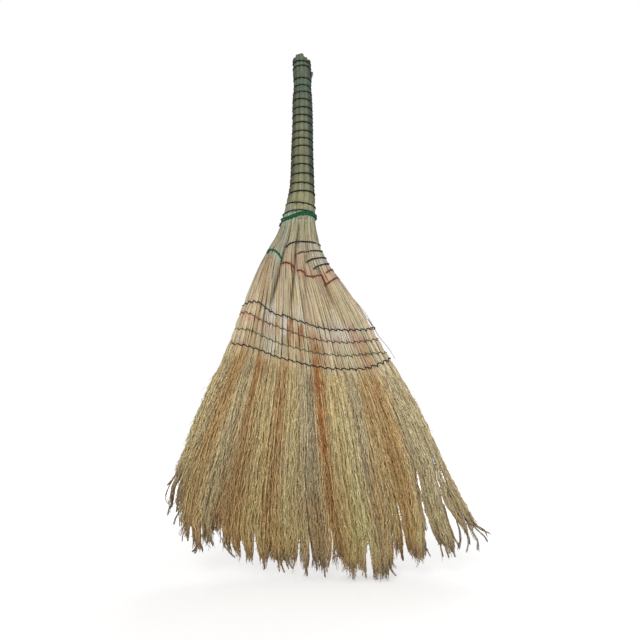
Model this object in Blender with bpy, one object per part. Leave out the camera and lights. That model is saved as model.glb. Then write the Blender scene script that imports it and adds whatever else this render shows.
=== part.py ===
"""Short-handled sorghum broom: a handle of bound stalks over a wide, flat fan of sewn brush.

The broom stands upright on the flat cut ends of its brush, handle up, front towards -Y.
The fan is laid out by two shares: across, from 0 at its left edge to 1 at its right edge,
and height above the floor. Every bunch, thread and strand is placed with them.
"""

import math
import random

import bmesh
import bpy
from mathutils import Vector

# Main sizes, in metres.
NECK_HEIGHT = 0.527
HANDLE_LENGTH = 0.273
LEFT_REACH = 0.215
RIGHT_REACH = 0.285
NECK_HALF_DEPTH = 0.0190
SEWN_HALF_DEPTH = 0.0155
SPREAD_HALF_DEPTH = 0.0200
TIP_HALF_DEPTH = 0.0270
PIECE_GAP = 0.0003

# How far the fan reaches left and right of the handle at each share of the neck's height.
LEFT_EDGE_SHARES = (
    (0.0, 1.0), (0.2, 0.884), (0.4, 0.716), (0.6, 0.512), (0.7, 0.428),
    (0.8, 0.335), (0.85, 0.288), (0.9, 0.233), (0.955, 0.158), (1.0, 0.106),
)
RIGHT_EDGE_SHARES = (
    (0.0, 1.0), (0.2, 0.814), (0.4, 0.653), (0.6, 0.463), (0.7, 0.349),
    (0.8, 0.221), (0.85, 0.158), (0.9, 0.112), (0.955, 0.084), (1.0, 0.077),
)
DEPTH_PLACE_SHARES = (0.0, 0.3, 0.55, 0.72, 1.0)
DEPTH_SIZES = (TIP_HALF_DEPTH, SPREAD_HALF_DEPTH, SEWN_HALF_DEPTH, SEWN_HALF_DEPTH, NECK_HALF_DEPTH)
FLAT_OUTLINE_POWER = 4.0
ROUND_OUTLINE_POWER = 2.2
ROUND_FROM_SHARE = 0.7
OUTLINE_RIM_SHARE = 0.97

# Bunches side by side across the fan, each with two stems' ribs on its front and its back.
BUNCH_EDGE_SHARES = (0.0, 0.11, 0.21, 0.32, 0.42, 0.52, 0.61, 0.70, 0.79, 0.89, 1.0)
RIB_PLACE_SHARES = (0.0, 0.25, 0.5, 0.75, 1.0)
RIB_DEPTH_SHARES = (0.86, 1.0, 0.93, 1.0, 0.86)

# Threads and twines.
TWINE_RADIUS = 0.0010
COLLAR_RADIUS = 0.0015
THREAD_RADIUS = 0.0006
THREAD_CROSSING_GAP = 0.0004
PASS_MARGIN = 0.0003

# Shoulder, measured down from the neck: six short wraps a step apart, a tie on the left bunch
# and a red row. Each drop starts where the one before it ends.
SHOULDER_TOP_DROP = 0.022
FIRST_WRAP_DROP = 0.023
WRAP_STEP = 0.0118
SHOULDER_FOOT_DROP = 0.018
WRAP_LEFT_EDGES = (3, 5, 7, 8, 9, 8)
LEFT_TIE_WRAP = 1
LEFT_TIE_EDGE = 3
RED_ROW_WRAPS = (3, 4)
RED_ROW_EDGES = (3, 8)

# Four rows of stitching below the shoulder, highest at the left and lowest at three quarters across.
ROW_COUNT = 4
FIRST_ROW_DROP = 0.017
ROW_PITCH = 0.0193
ROW_SAG = 0.040
ROW_RISE_SHARES = ((0.0, 1.0), (0.2, 0.76), (0.4, 0.44), (0.6, 0.13), (0.75, 0.0), (0.88, 0.05), (1.0, 0.22))
ROW_GROOVE = 0.0015
BELOW_ROWS = 0.012
SLICE_THICKNESS = 0.008

# Brush strands below the sewing, and the ragged line that their tips follow.
DEPTH_CELLS = 4
STRAND_SHOULDER_SHARE = 0.25
STRAND_WIDTH_SHARE = 0.66
TIP_WIDTH_SHARE = 0.24
TIP_STRAY_SHARE = 0.25
TIP_RAGGEDNESS = 0.036
FLAT_CUT_DEPTH = 0.0005
TIP_LINE_HEIGHT = 0.100
TIP_LINE_SHARES = (
    (0.0, 0.95), (0.03, 0.80), (0.065, 0.66), (0.10, 0.42), (0.13, 0.34), (0.16, 0.40), (0.19, 0.48),
    (0.21, 0.38), (0.24, 0.27), (0.285, 0.18), (0.34, 0.06), (0.40, -0.04), (0.60, -0.04), (0.63, 0.12),
    (0.645, -0.04), (0.69, -0.04), (0.71, 0.16), (0.75, 0.26), (0.78, 0.16), (0.825, 0.42), (0.85, 0.38),
    (0.865, 0.26), (0.895, 0.34), (0.92, 0.44), (0.96, 0.42), (1.0, 0.75),
)

# Handle stalks, packed in a hexagon with five across the middle.
MIDDLE_ROW_STALKS = 5
STALK_TOP_WIDTH = 0.0055
STALK_NECK_WIDTH = 0.0086
STALK_FLARE_SHARES = ((0.0, 1.0), (0.08, 0.65), (0.18, 0.4), (0.35, 0.22), (0.6, 0.06), (1.0, 0.0))
STALK_SIDES = 8
STALK_RAGGEDNESS = 0.009

# Handle winding: two close turns at the butt, then even turns down to the neck.
BUTT_TURN_DROP = 0.0140
BUTT_TURN_PITCH = 0.0070
BUTT_TO_TURNS = 0.0200
TURN_COUNT = 17
WINDING_TO_COLLAR = 0.0020
COLLAR_TURN_GAP = 0.0006
COLLAR_TURNS = 2
COLLAR_SKIPPED_POINTS = 3
TAIL_LENGTH = 0.018
TAIL_STEPS = (3, 1, 1)
TAIL_DROP_SHARES = (0.2, 0.6, 1.0)
LEAST_TURN_GAP = 0.0004
ARC_TURNS = (-math.pi / 6, 0.0, math.pi / 6)
ARC_PLACE_SHARES = (-0.13, 0.0, 0.13)

SEED = 7
FRONT = -1
BACK = 1

# Surface colours, roughness.
STALK_GREEN = (0.30, 0.29, 0.19)
STALK_STRAW = (0.42, 0.37, 0.24)
BUNCH_STRAW = (0.52, 0.42, 0.25)
BUNCH_TAN = (0.44, 0.33, 0.18)
BRUSH_TAN = (0.36, 0.26, 0.12)
BRUSH_GREY = (0.33, 0.27, 0.15)
TWINE_OLIVE = (0.035, 0.045, 0.020)
COLLAR_GREEN = (0.02, 0.16, 0.07)
WRAP_SLATE = (0.03, 0.035, 0.045)
ROW_NAVY = (0.02, 0.03, 0.09)
ROW_RED = (0.42, 0.06, 0.03)
ROW_GREEN = (0.03, 0.13, 0.06)
STRAW_ROUGHNESS = 0.65
TWINE_ROUGHNESS = 0.80

BUNCH_COUNT = len(BUNCH_EDGE_SHARES) - 1
HANDLE_TOP = NECK_HEIGHT + HANDLE_LENGTH
SHOULDER_TOP = NECK_HEIGHT - SHOULDER_TOP_DROP
FIRST_WRAP = SHOULDER_TOP - FIRST_WRAP_DROP
SHOULDER_FOOT = FIRST_WRAP - (len(WRAP_LEFT_EDGES) - 1) * WRAP_STEP - SHOULDER_FOOT_DROP
FIRST_ROW_LOW = SHOULDER_FOOT - FIRST_ROW_DROP - ROW_SAG
COLLAR_FOOT = NECK_HEIGHT + COLLAR_RADIUS + PIECE_GAP
COLLAR_PITCH = 2 * COLLAR_RADIUS + COLLAR_TURN_GAP
COLLAR_HEAD = COLLAR_FOOT + COLLAR_TURNS * COLLAR_PITCH
WINDING_END = COLLAR_HEAD + COLLAR_RADIUS + TWINE_RADIUS + WINDING_TO_COLLAR
THREAD_LIFT = THREAD_RADIUS + THREAD_CROSSING_GAP / 2


def between(start, end, share):
    return start + (end - start) * share


def read_line(rows, place):
    """Value of a table of (place, value) pairs, straight between them and level past its ends."""
    if place <= rows[0][0]:
        return rows[0][1]
    for (place_a, value_a), (place_b, value_b) in zip(rows, rows[1:]):
        if place <= place_b:
            return between(value_a, value_b, (place - place_a) / (place_b - place_a))
    return rows[-1][1]


def read_smooth(rows, place):
    """Value of the same kind of table along a smooth curve through its pairs."""
    if place <= rows[0][0]:
        return rows[0][1]
    if place >= rows[-1][0]:
        return rows[-1][1]
    low = max(i for i, row in enumerate(rows) if row[0] <= place)
    span = rows[low + 1][0] - rows[low][0]

    def slope(index):
        before = rows[max(index - 1, 0)]
        after = rows[min(index + 1, len(rows) - 1)]
        return (after[1] - before[1]) / (after[0] - before[0])

    t = (place - rows[low][0]) / span
    start = rows[low][1] * (1 + 2 * t) * (1 - t) ** 2 + slope(low) * span * t * (1 - t) ** 2
    end = rows[low + 1][1] * t * t * (3 - 2 * t) - slope(low + 1) * span * t * t * (1 - t)
    return start + end


def fan_x(across, height):
    """Sideways place of a line of the fan at a height."""
    share = height / NECK_HEIGHT
    left = -LEFT_REACH * read_smooth(LEFT_EDGE_SHARES, share)
    right = RIGHT_REACH * read_smooth(RIGHT_EDGE_SHARES, share)
    return between(left, right, across)


def fan_half_depth(across, height):
    """Half of the fan's thickness, full in the middle and rounded off towards both edges."""
    share = height / NECK_HEIGHT
    middle = read_smooth(tuple(zip(DEPTH_PLACE_SHARES, DEPTH_SIZES)), share)
    roundness = min(max((share - ROUND_FROM_SHARE) / (1 - ROUND_FROM_SHARE), 0.0), 1.0)
    power = between(FLAT_OUTLINE_POWER, ROUND_OUTLINE_POWER, roundness)
    rim = min(abs(2 * across - 1), OUTLINE_RIM_SHARE)
    return middle * (1 - rim ** power) ** (1 / power)


def row_height(row, across):
    """Height of a sewn row, numbered from 0 at the top; halves are midway between rows."""
    return FIRST_ROW_LOW - row * ROW_PITCH + ROW_SAG * read_smooth(ROW_RISE_SHARES, across)


def wrap_height(wrap):
    return FIRST_WRAP - wrap * WRAP_STEP


def bunch_share(bunch, step):
    """Share across the fan of a place in a bunch, from 0 at its left side to 1 at its right."""
    return between(BUNCH_EDGE_SHARES[bunch], BUNCH_EDGE_SHARES[bunch + 1], step)


class Level:
    """One cross-section through all the bunches: its height, its groove and where twine passes."""

    def __init__(self, height_at, groove=0.0, passes=None):
        self.height_at = height_at
        self.groove = groove
        self.passes = passes or {}

    def inset(self, edge):
        """How far a bunch's side lies from the line that it shares with its neighbour."""
        if edge in self.passes:
            return self.passes[edge] + PIECE_GAP + PASS_MARGIN
        return PIECE_GAP / 2

    def point(self, bunch, step):
        """(x, half depth, height) of a bunch's surface, without its ribs."""
        left = BUNCH_EDGE_SHARES[bunch]
        right = BUNCH_EDGE_SHARES[bunch + 1]
        left_x = fan_x(left, self.height_at(left)) + self.inset(bunch)
        right_x = fan_x(right, self.height_at(right)) - self.inset(bunch + 1)
        across = bunch_share(bunch, step)
        height = self.height_at(across)
        return between(left_x, right_x, step), fan_half_depth(across, height) - self.groove, height


def flat(height):
    return lambda across: height


def below_rows(drop):
    return lambda across: row_height(ROW_COUNT - 1, across) - BELOW_ROWS - drop


def sewn_level(row):
    passes = {edge: THREAD_RADIUS for edge in range(1, BUNCH_COUNT)}
    return Level(lambda across: row_height(row, across), ROW_GROOVE, passes)


def shoulder_level(wrap):
    """A level at a wrap's height, opened at each edge where a wrap, the tie or the red row passes."""
    edges = {WRAP_LEFT_EDGES[wrap]}
    if wrap == LEFT_TIE_WRAP:
        edges.add(LEFT_TIE_EDGE)
    for red_wrap, red_edge in zip(RED_ROW_WRAPS, RED_ROW_EDGES):
        if wrap == red_wrap:
            edges.add(red_edge)
    return Level(flat(wrap_height(wrap)), passes={edge: TWINE_RADIUS for edge in edges})


def bunch_levels():
    """The levels that every bunch is lofted through, from the neck down."""
    levels = [Level(flat(NECK_HEIGHT - PIECE_GAP / 2)), Level(flat(SHOULDER_TOP))]
    levels += [shoulder_level(wrap) for wrap in range(len(WRAP_LEFT_EDGES))]
    levels.append(Level(flat(SHOULDER_FOOT)))
    for row in range(ROW_COUNT):
        levels.append(sewn_level(row))
        if row < ROW_COUNT - 1:
            levels.append(Level(lambda across, middle=row + 0.5: row_height(middle, across)))
    levels.append(Level(below_rows(0)))
    return levels


def make_material(name, colour, roughness):
    material = bpy.data.materials.new(name)
    material.use_nodes = True
    shader = material.node_tree.nodes["Principled BSDF"]
    shader.inputs["Base Color"].default_value = (*colour, 1.0)
    shader.inputs["Roughness"].default_value = roughness
    shader.inputs["Metallic"].default_value = 0.0
    return material


def add_object(name, data, material, root):
    piece = bpy.data.objects.new(name, data)
    bpy.context.collection.objects.link(piece)
    data.materials.append(material)
    piece.parent = root
    return piece


def add_solid(name, bm, material, root, sharp_angle=math.radians(50)):
    bmesh.ops.recalc_face_normals(bm, faces=bm.faces)
    mesh = bpy.data.meshes.new(name)
    bm.to_mesh(mesh)
    bm.free()
    mesh.shade_smooth()
    mesh.set_sharp_from_angle(angle=sharp_angle)
    return add_object(name, mesh, material, root)


def add_tube(name, points, radius, material, root, closed=False, rounding=0):
    """A twine or thread as a round-bevelled curve, closed into a loop or capped at both ends."""
    curve = bpy.data.curves.new(name, "CURVE")
    curve.dimensions = "3D"
    curve.bevel_depth = radius
    curve.bevel_resolution = rounding
    curve.use_fill_caps = not closed
    spline = curve.splines.new("POLY")
    spline.points.add(len(points) - 1)
    for spline_point, place in zip(spline.points, points):
        spline_point.co = (*place, 1.0)
    spline.use_cyclic_u = closed
    spline.use_smooth = True
    return add_object(name, curve, material, root)


def loft(bm, rings):
    """Skin a stack of rings with the same number of points each. The ends stay open."""
    loops = [[bm.verts.new(place) for place in ring] for ring in rings]
    for upper, lower in zip(loops, loops[1:]):
        for i in range(len(upper)):
            j = (i + 1) % len(upper)
            bm.faces.new((upper[i], upper[j], lower[j], lower[i]))
    return loops


def bunch_ring(bunch, level):
    """One ring round a bunch: its front from left to right, then its back from right to left."""
    front = []
    back = []
    for step, rib in zip(RIB_PLACE_SHARES, RIB_DEPTH_SHARES):
        x, half_depth, height = level.point(bunch, step)
        front.append(Vector((x, FRONT * half_depth * rib, height)))
        back.append(Vector((x, BACK * half_depth * rib, height)))
    return front + back[::-1]


def add_bunch(bunch, levels, material, root):
    """A bunch of stems, pinched where the rows and wraps cross it."""
    bm = bmesh.new()
    loops = loft(bm, [bunch_ring(bunch, level) for level in levels])
    steps = len(RIB_PLACE_SHARES)
    for loop in (loops[0], loops[-1]):
        front = loop[:steps]
        back = loop[steps:][::-1]
        for i in range(steps - 1):
            bm.faces.new((front[i], front[i + 1], back[i + 1], back[i]))
    add_solid(f"bunch_{bunch + 1}", bm, material, root)


def strand_tip_height(across, chance):
    line = TIP_LINE_HEIGHT * read_line(TIP_LINE_SHARES, across)
    return max(line + TIP_RAGGEDNESS * chance.random() ** 2, -FLAT_CUT_DEPTH)


def strand_ring(corners, centre, width_share, height):
    """Three corners of a strand, drawn in towards the middle line of its cell."""
    ring = []
    for corner in corners:
        across = between(centre[0], corner[0], width_share)
        deep = between(centre[1], corner[1], width_share)
        ring.append(Vector((fan_x(across, height), deep * fan_half_depth(across, height), height)))
    return ring


def add_strand(bm, root_verts, corners, chance):
    """A three-sided strand from its cell of the slice down to a narrow, flat cut tip."""
    centre = [sum(corner[i] for corner in corners) / len(corners) for i in range(2)]
    top = sum(vert.co.z for vert in root_verts) / len(root_verts)
    tip = max(strand_tip_height(centre[0], chance), 0.0)
    middle = between(top, tip, STRAND_SHOULDER_SHARE)
    strayed = [
        between(centre[i], corners[0][i], chance.uniform(-TIP_STRAY_SHARE, TIP_STRAY_SHARE)) for i in range(2)
    ]
    shift = [strayed[i] - centre[i] for i in range(2)]
    tip_corners = [(corner[0] + shift[0], corner[1] + shift[1]) for corner in corners]
    rings = [
        strand_ring(corners, centre, STRAND_WIDTH_SHARE, middle),
        strand_ring(tip_corners, strayed, TIP_WIDTH_SHARE, tip),
    ]
    upper = root_verts
    for ring in rings:
        lower = [bm.verts.new(place) for place in ring]
        for i in range(3):
            j = (i + 1) % 3
            bm.faces.new((upper[i], upper[j], lower[j], lower[i]))
        upper = lower
    bm.faces.new(upper)


def add_fringe(bunch, material, root):
    """The brush of one bunch: a slice of its backing with every strand fused to it."""
    chance = random.Random(SEED + bunch)
    slice_top = Level(below_rows(PIECE_GAP))
    slice_foot = Level(below_rows(PIECE_GAP + SLICE_THICKNESS))
    bm = bmesh.new()
    grids = []
    for level in (slice_top, slice_foot):
        grid = []
        for step, rib in zip(RIB_PLACE_SHARES, RIB_DEPTH_SHARES):
            x, half_depth, height = level.point(bunch, step)
            depths = [2 * k / DEPTH_CELLS - 1 for k in range(DEPTH_CELLS + 1)]
            grid.append([bm.verts.new((x, deep * half_depth * rib, height)) for deep in depths])
        grids.append(grid)
    upper, lower = grids
    across_cells = len(RIB_PLACE_SHARES) - 1
    for i in range(across_cells):
        for k in range(DEPTH_CELLS):
            bm.faces.new((upper[i][k], upper[i + 1][k], upper[i + 1][k + 1], upper[i][k + 1]))
        for k in (0, DEPTH_CELLS):
            bm.faces.new((upper[i][k], upper[i + 1][k], lower[i + 1][k], lower[i][k]))
    for k in range(DEPTH_CELLS):
        for i in (0, across_cells):
            bm.faces.new((upper[i][k], upper[i][k + 1], lower[i][k + 1], lower[i][k]))
    for i in range(across_cells):
        for k in range(DEPTH_CELLS):
            cell = [(i, k), (i + 1, k), (i + 1, k + 1), (i, k + 1)]
            turned = cell if (i + k) % 2 else cell[1:] + cell[:1]
            for three in ((turned[0], turned[1], turned[2]), (turned[0], turned[2], turned[3])):
                verts = [lower[a][b] for a, b in three]
                corners = [
                    (bunch_share(bunch, RIB_PLACE_SHARES[a]), 2 * b / DEPTH_CELLS - 1) for a, b in three
                ]
                add_strand(bm, verts, corners, chance)
    add_solid(f"fringe_{bunch + 1}", bm, material, root)


def edge_gap_point(edge, level, side, radius, lift):
    """Where a thread dips between two bunches, or the corner where it rounds the fan's edge."""
    across = BUNCH_EDGE_SHARES[edge]
    height = level.height_at(across)
    x = fan_x(across, height)
    if edge == 0:
        x -= radius + PIECE_GAP
    if edge == BUNCH_COUNT:
        x += radius + PIECE_GAP
    half_depth = (fan_half_depth(across, height) - level.groove) * RIB_DEPTH_SHARES[0] + radius
    return Vector((x, side * half_depth, height + lift))


def over_bunch(bunch, level, side, radius, lift, rightwards):
    """Two points of a thread, over the two ribs of one bunch."""
    points = []
    ribs = [step for step, rib in zip(RIB_PLACE_SHARES, RIB_DEPTH_SHARES) if rib == max(RIB_DEPTH_SHARES)]
    for step in ribs if rightwards else ribs[::-1]:
        x, half_depth, height = level.point(bunch, step)
        stand_off = radius + PIECE_GAP + PASS_MARGIN
        points.append(Vector((x, side * (half_depth + stand_off), height + lift)))
    return points


def loop_round(first_edge, last_edge, level, radius):
    """A closed loop round the bunches between two edges of the fan's bunches."""
    points = [edge_gap_point(first_edge, level, FRONT, radius, 0.0)]
    for bunch in range(first_edge, last_edge):
        points += over_bunch(bunch, level, FRONT, radius, 0.0, True)
    points.append(edge_gap_point(last_edge, level, FRONT, radius, 0.0))
    points.append(edge_gap_point(last_edge, level, BACK, radius, 0.0))
    for bunch in reversed(range(first_edge, last_edge)):
        points += over_bunch(bunch, level, BACK, radius, 0.0, False)
    points.append(edge_gap_point(first_edge, level, BACK, radius, 0.0))
    return points


def saddle_stitch(level, radius, lift):
    """One thread there and back: each way it swaps sides between bunches, so both sides are covered."""
    points = []
    for rightwards in (True, False):
        run_lift = lift if rightwards else -lift
        bunches = range(BUNCH_COUNT) if rightwards else reversed(range(BUNCH_COUNT))
        for bunch in bunches:
            side = FRONT if (bunch % 2 == 0) == rightwards else BACK
            edges = (bunch, bunch + 1) if rightwards else (bunch + 1, bunch)
            points.append(edge_gap_point(edges[0], level, side, radius, run_lift))
            points += over_bunch(bunch, level, side, radius, run_lift, rightwards)
            points.append(edge_gap_point(edges[1], level, side, radius, run_lift))
    return points


def red_row_level():
    """The red row slopes from one wrap's height at its left edge to the next wrap's at its right."""
    left, right = (BUNCH_EDGE_SHARES[edge] for edge in RED_ROW_EDGES)
    high, low = (wrap_height(wrap) for wrap in RED_ROW_WRAPS)
    return Level(lambda across: between(high, low, (across - left) / (right - left)))


def stalk_width(height):
    share = (height - NECK_HEIGHT) / HANDLE_LENGTH
    return between(STALK_TOP_WIDTH, STALK_NECK_WIDTH, read_line(STALK_FLARE_SHARES, share))


def stalk_pitch(height):
    return stalk_width(height) + PIECE_GAP


def stalk_cells():
    """Places of the stalks in a hexagonal packing, in pitches from the handle's axis."""
    cells = []
    reach = MIDDLE_ROW_STALKS // 2
    for row in range(-reach, reach + 1):
        count = MIDDLE_ROW_STALKS - abs(row)
        for i in range(count):
            cells.append((i - (count - 1) / 2, row * math.sqrt(3) / 2))
    return cells


def add_stalk(number, cell, top, material, root):
    """One stalk of the handle, thicker towards the neck, with its end cut off square."""
    bm = bmesh.new()
    rings = []
    for share, flare in STALK_FLARE_SHARES:
        height = between(NECK_HEIGHT, HANDLE_TOP, share)
        width = stalk_width(height)
        centre = Vector((cell[0], cell[1], 0)) * stalk_pitch(height)
        centre.z = min(max(height, NECK_HEIGHT + PIECE_GAP / 2), top)
        ring = []
        for side in range(STALK_SIDES):
            angle = 2 * math.pi * (side + 0.5) / STALK_SIDES
            ring.append(centre + Vector((math.cos(angle), math.sin(angle), 0)) * width / 2)
        rings.append(ring)
    loops = loft(bm, rings)
    bm.faces.new(loops[0])
    bm.faces.new(loops[-1])
    add_solid(f"stalk_{number:02d}", bm, material, root)


def handle_route(radius, heights_at, turns):
    """A twine round the packed stalks: over each corner stalk in an arc, straight from one to the next."""
    points = []
    for corner in range(6 * turns + 1):
        direction = corner * math.pi / 3
        for arc, arc_share in zip(ARC_TURNS, ARC_PLACE_SHARES):
            height = heights_at((corner + arc_share) / 6)
            round_stalk = stalk_width(height) / 2 + PIECE_GAP + radius
            reach = stalk_pitch(height) * (MIDDLE_ROW_STALKS // 2)
            points.append(Vector((
                reach * math.cos(direction) + round_stalk * math.cos(direction + arc),
                reach * math.sin(direction) + round_stalk * math.sin(direction + arc),
                height,
            )))
    return points


def straight_ends(points, length):
    """The same route with both ends run on straight for one twine's width."""
    head = points[0] + (points[0] - points[1]).normalized() * length
    tail = points[-1] + (points[-1] - points[-2]).normalized() * length
    return [head] + points + [tail]


def least_gap(points, width, apart):
    """Least clear distance between stretches of a tube that lie at least so many points apart."""
    nearest = min(
        (points[i] - points[j]).length
        for i in range(len(points)) for j in range(i + apart, len(points))
    )
    return nearest - width


def winding_height(turn):
    """Height along the handle winding, turns counted from its upper end."""
    butt = HANDLE_TOP - BUTT_TURN_DROP
    first_even = butt - BUTT_TURN_PITCH - BUTT_TO_TURNS
    stops = (
        (0, butt), (1, butt - BUTT_TURN_PITCH), (2, first_even), (2 + TURN_COUNT, WINDING_END),
    )
    return read_line(stops, turn)


def add_handle_winding(material, root):
    route = handle_route(TWINE_RADIUS, winding_height, 2 + TURN_COUNT)
    gap = least_gap(route, 2 * TWINE_RADIUS, len(ARC_TURNS) * 3)
    print(f"handle_winding: least gap to itself {gap * 1000:.2f} mm, wanted over {LEAST_TURN_GAP * 1000:.2f} mm")
    add_tube("handle_winding", straight_ends(route, 2 * TWINE_RADIUS), TWINE_RADIUS, material, root, rounding=1)


def add_collar(material, root):
    """Two turns of thick green twine at the neck, whose lower end hangs over the left bunch."""
    route = handle_route(COLLAR_RADIUS, lambda turn: COLLAR_FOOT + turn * COLLAR_PITCH, COLLAR_TURNS)
    gap = least_gap(route, 2 * COLLAR_RADIUS, len(ARC_TURNS) * 3)
    print(f"neck_collar: least gap to itself {gap * 1000:.2f} mm, wanted over {LEAST_TURN_GAP * 1000:.2f} mm")
    turned = [Vector((-place.x, -place.y, place.z)) for place in route[COLLAR_SKIPPED_POINTS:]]
    tail = []
    for step, drop_share in zip(TAIL_STEPS, TAIL_DROP_SHARES):
        level = Level(flat(NECK_HEIGHT - drop_share * TAIL_LENGTH))
        x, half_depth, height = level.point(0, RIB_PLACE_SHARES[step])
        tail.append(Vector((x, FRONT * (half_depth + 2 * COLLAR_RADIUS), height)))
    add_tube("neck_collar", tail[::-1] + turned, COLLAR_RADIUS, material, root, rounding=1)


def centre_on_floor(root):
    """Shift the whole broom so that its box is centred over the origin."""
    bpy.context.view_layer.update()
    graph = bpy.context.evaluated_depsgraph_get()
    corners = []
    for piece in root.children:
        evaluated = piece.evaluated_get(graph)
        mesh = evaluated.to_mesh()
        corners += [piece.matrix_world @ vert.co for vert in mesh.vertices]
        evaluated.to_mesh_clear()
    for axis in (0, 1):
        root.location[axis] = -(min(c[axis] for c in corners) + max(c[axis] for c in corners)) / 2
    bpy.context.view_layer.update()
    print(f"handle axis at x {root.location.x:.5f}, y {root.location.y:.5f}")


def main():
    for old in list(bpy.data.objects):
        bpy.data.objects.remove(old, do_unlink=True)
    root = bpy.data.objects.new("broom", None)
    bpy.context.collection.objects.link(root)

    stalk_colours = [
        make_material("stalk green", STALK_GREEN, STRAW_ROUGHNESS),
        make_material("stalk straw", STALK_STRAW, STRAW_ROUGHNESS),
    ]
    bunch_colours = [
        make_material("bunch straw", BUNCH_STRAW, STRAW_ROUGHNESS),
        make_material("bunch tan", BUNCH_TAN, STRAW_ROUGHNESS),
    ]
    brush_colours = [
        make_material("brush tan", BRUSH_TAN, STRAW_ROUGHNESS),
        make_material("brush grey", BRUSH_GREY, STRAW_ROUGHNESS),
    ]
    olive = make_material("olive twine", TWINE_OLIVE, TWINE_ROUGHNESS)
    green = make_material("green twine", COLLAR_GREEN, TWINE_ROUGHNESS)
    slate = make_material("slate twine", WRAP_SLATE, TWINE_ROUGHNESS)
    red = make_material("red thread", ROW_RED, TWINE_ROUGHNESS)
    navy = make_material("navy thread", ROW_NAVY, TWINE_ROUGHNESS)
    dark_green = make_material("green thread", ROW_GREEN, TWINE_ROUGHNESS)

    chance = random.Random(SEED)
    for number, cell in enumerate(stalk_cells()):
        middle = cell == (0.0, 0.0)
        top = HANDLE_TOP - (0.0 if middle else STALK_RAGGEDNESS * chance.random())
        add_stalk(number + 1, cell, top, stalk_colours[number % 2], root)
    add_handle_winding(olive, root)
    add_collar(green, root)

    levels = bunch_levels()
    for bunch in range(BUNCH_COUNT):
        add_bunch(bunch, levels, bunch_colours[bunch % 2], root)
        add_fringe(bunch, brush_colours[bunch % 2], root)

    for wrap, edge in enumerate(WRAP_LEFT_EDGES):
        route = loop_round(edge, BUNCH_COUNT, shoulder_level(wrap), TWINE_RADIUS)
        add_tube(f"shoulder_wrap_{wrap + 1}", route, TWINE_RADIUS, slate, root, closed=True)
    tie = loop_round(0, LEFT_TIE_EDGE, shoulder_level(LEFT_TIE_WRAP), TWINE_RADIUS)
    add_tube("left_bunch_tie", tie, TWINE_RADIUS, green, root, closed=True)
    red_row = loop_round(*RED_ROW_EDGES, red_row_level(), TWINE_RADIUS)
    add_tube("red_neck_row", red_row, TWINE_RADIUS, red, root, closed=True)

    for row, material in enumerate((navy, red, dark_green, navy)):
        route = saddle_stitch(sewn_level(row), THREAD_RADIUS, THREAD_LIFT)
        add_tube(f"sewn_row_{row + 1}", route, THREAD_RADIUS, material, root, closed=True)
    centre_on_floor(root)


main()
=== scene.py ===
"""Short-handled sorghum broom: a handle of bound stalks over a wide, flat fan of sewn brush.

The fan is laid out by its height above the floor, by a share across it from 0 at its left
edge to 1 at its right edge, and by a share round its outline, which starts at the left edge
and runs over the front to the right edge and back behind. Lengths are in metres.
"""

import math

import bpy
import numpy as np
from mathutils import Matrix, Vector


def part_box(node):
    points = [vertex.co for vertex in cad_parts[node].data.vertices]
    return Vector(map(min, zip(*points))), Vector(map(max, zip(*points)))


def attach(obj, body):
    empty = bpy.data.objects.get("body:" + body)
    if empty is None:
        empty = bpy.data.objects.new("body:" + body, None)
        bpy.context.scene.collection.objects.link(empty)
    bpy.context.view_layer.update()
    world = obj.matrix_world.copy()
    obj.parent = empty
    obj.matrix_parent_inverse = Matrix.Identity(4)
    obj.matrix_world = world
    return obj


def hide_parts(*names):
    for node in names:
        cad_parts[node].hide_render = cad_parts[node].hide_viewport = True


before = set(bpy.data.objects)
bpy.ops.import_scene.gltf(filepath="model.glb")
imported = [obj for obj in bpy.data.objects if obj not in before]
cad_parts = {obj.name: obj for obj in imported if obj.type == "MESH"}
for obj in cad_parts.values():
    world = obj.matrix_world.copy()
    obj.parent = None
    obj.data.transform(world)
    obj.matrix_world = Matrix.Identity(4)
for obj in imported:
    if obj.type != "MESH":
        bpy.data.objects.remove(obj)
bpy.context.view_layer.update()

# The fan. Heights in a table are shares of the neck's height, reaches are shares of a side's reach
# from the handle's axis. The two edges were read more finely than those of the solids.
NECK_HEIGHT = 0.527
HANDLE_LENGTH = 0.273
HANDLE_TOP = NECK_HEIGHT + HANDLE_LENGTH
LEFT_REACH = 0.215
RIGHT_REACH = 0.285
LEFT_EDGE = (
    (0.0, 1.0), (0.2, 0.884), (0.4, 0.708), (0.6, 0.505), (0.7, 0.426),
    (0.8, 0.335), (0.85, 0.284), (0.9, 0.221), (0.925, 0.184), (0.95, 0.157), (0.972, 0.142),
    (1.0, 0.122), (1.026, 0.108), (1.045, 0.098), (1.1, 0.085),
)
RIGHT_EDGE = (
    (0.0, 1.0), (0.2, 0.814), (0.4, 0.650), (0.5, 0.552), (0.6, 0.441), (0.7, 0.336),
    (0.8, 0.219), (0.85, 0.158), (0.9, 0.112), (0.955, 0.084), (1.0, 0.078), (1.045, 0.077),
    (1.1, 0.070),
)
DEPTH_LINE = ((0.0, 0.027), (0.3, 0.020), (0.55, 0.0155), (0.72, 0.0155), (1.0, 0.019), (1.1, 0.019))
POWER_LINE = ((0.0, 4.0), (0.7, 4.0), (1.0, 2.2), (1.1, 2.2))
BUNCH_EDGES = (0.0, 0.11, 0.21, 0.32, 0.42, 0.52, 0.61, 0.70, 0.79, 0.89, 1.0)
FIRST_ROW_LOW = 0.348
ROW_PITCH = 0.0193
ROW_SAG = 0.040
ROW_COUNT = 4
ROW_RISE = ((0.0, 1.0), (0.2, 0.76), (0.4, 0.44), (0.6, 0.13), (0.75, 0.0), (0.88, 0.05), (1.0, 0.22))
WRAP_HEIGHTS = (0.482, 0.4702, 0.4584, 0.4466, 0.4348, 0.423)

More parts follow.
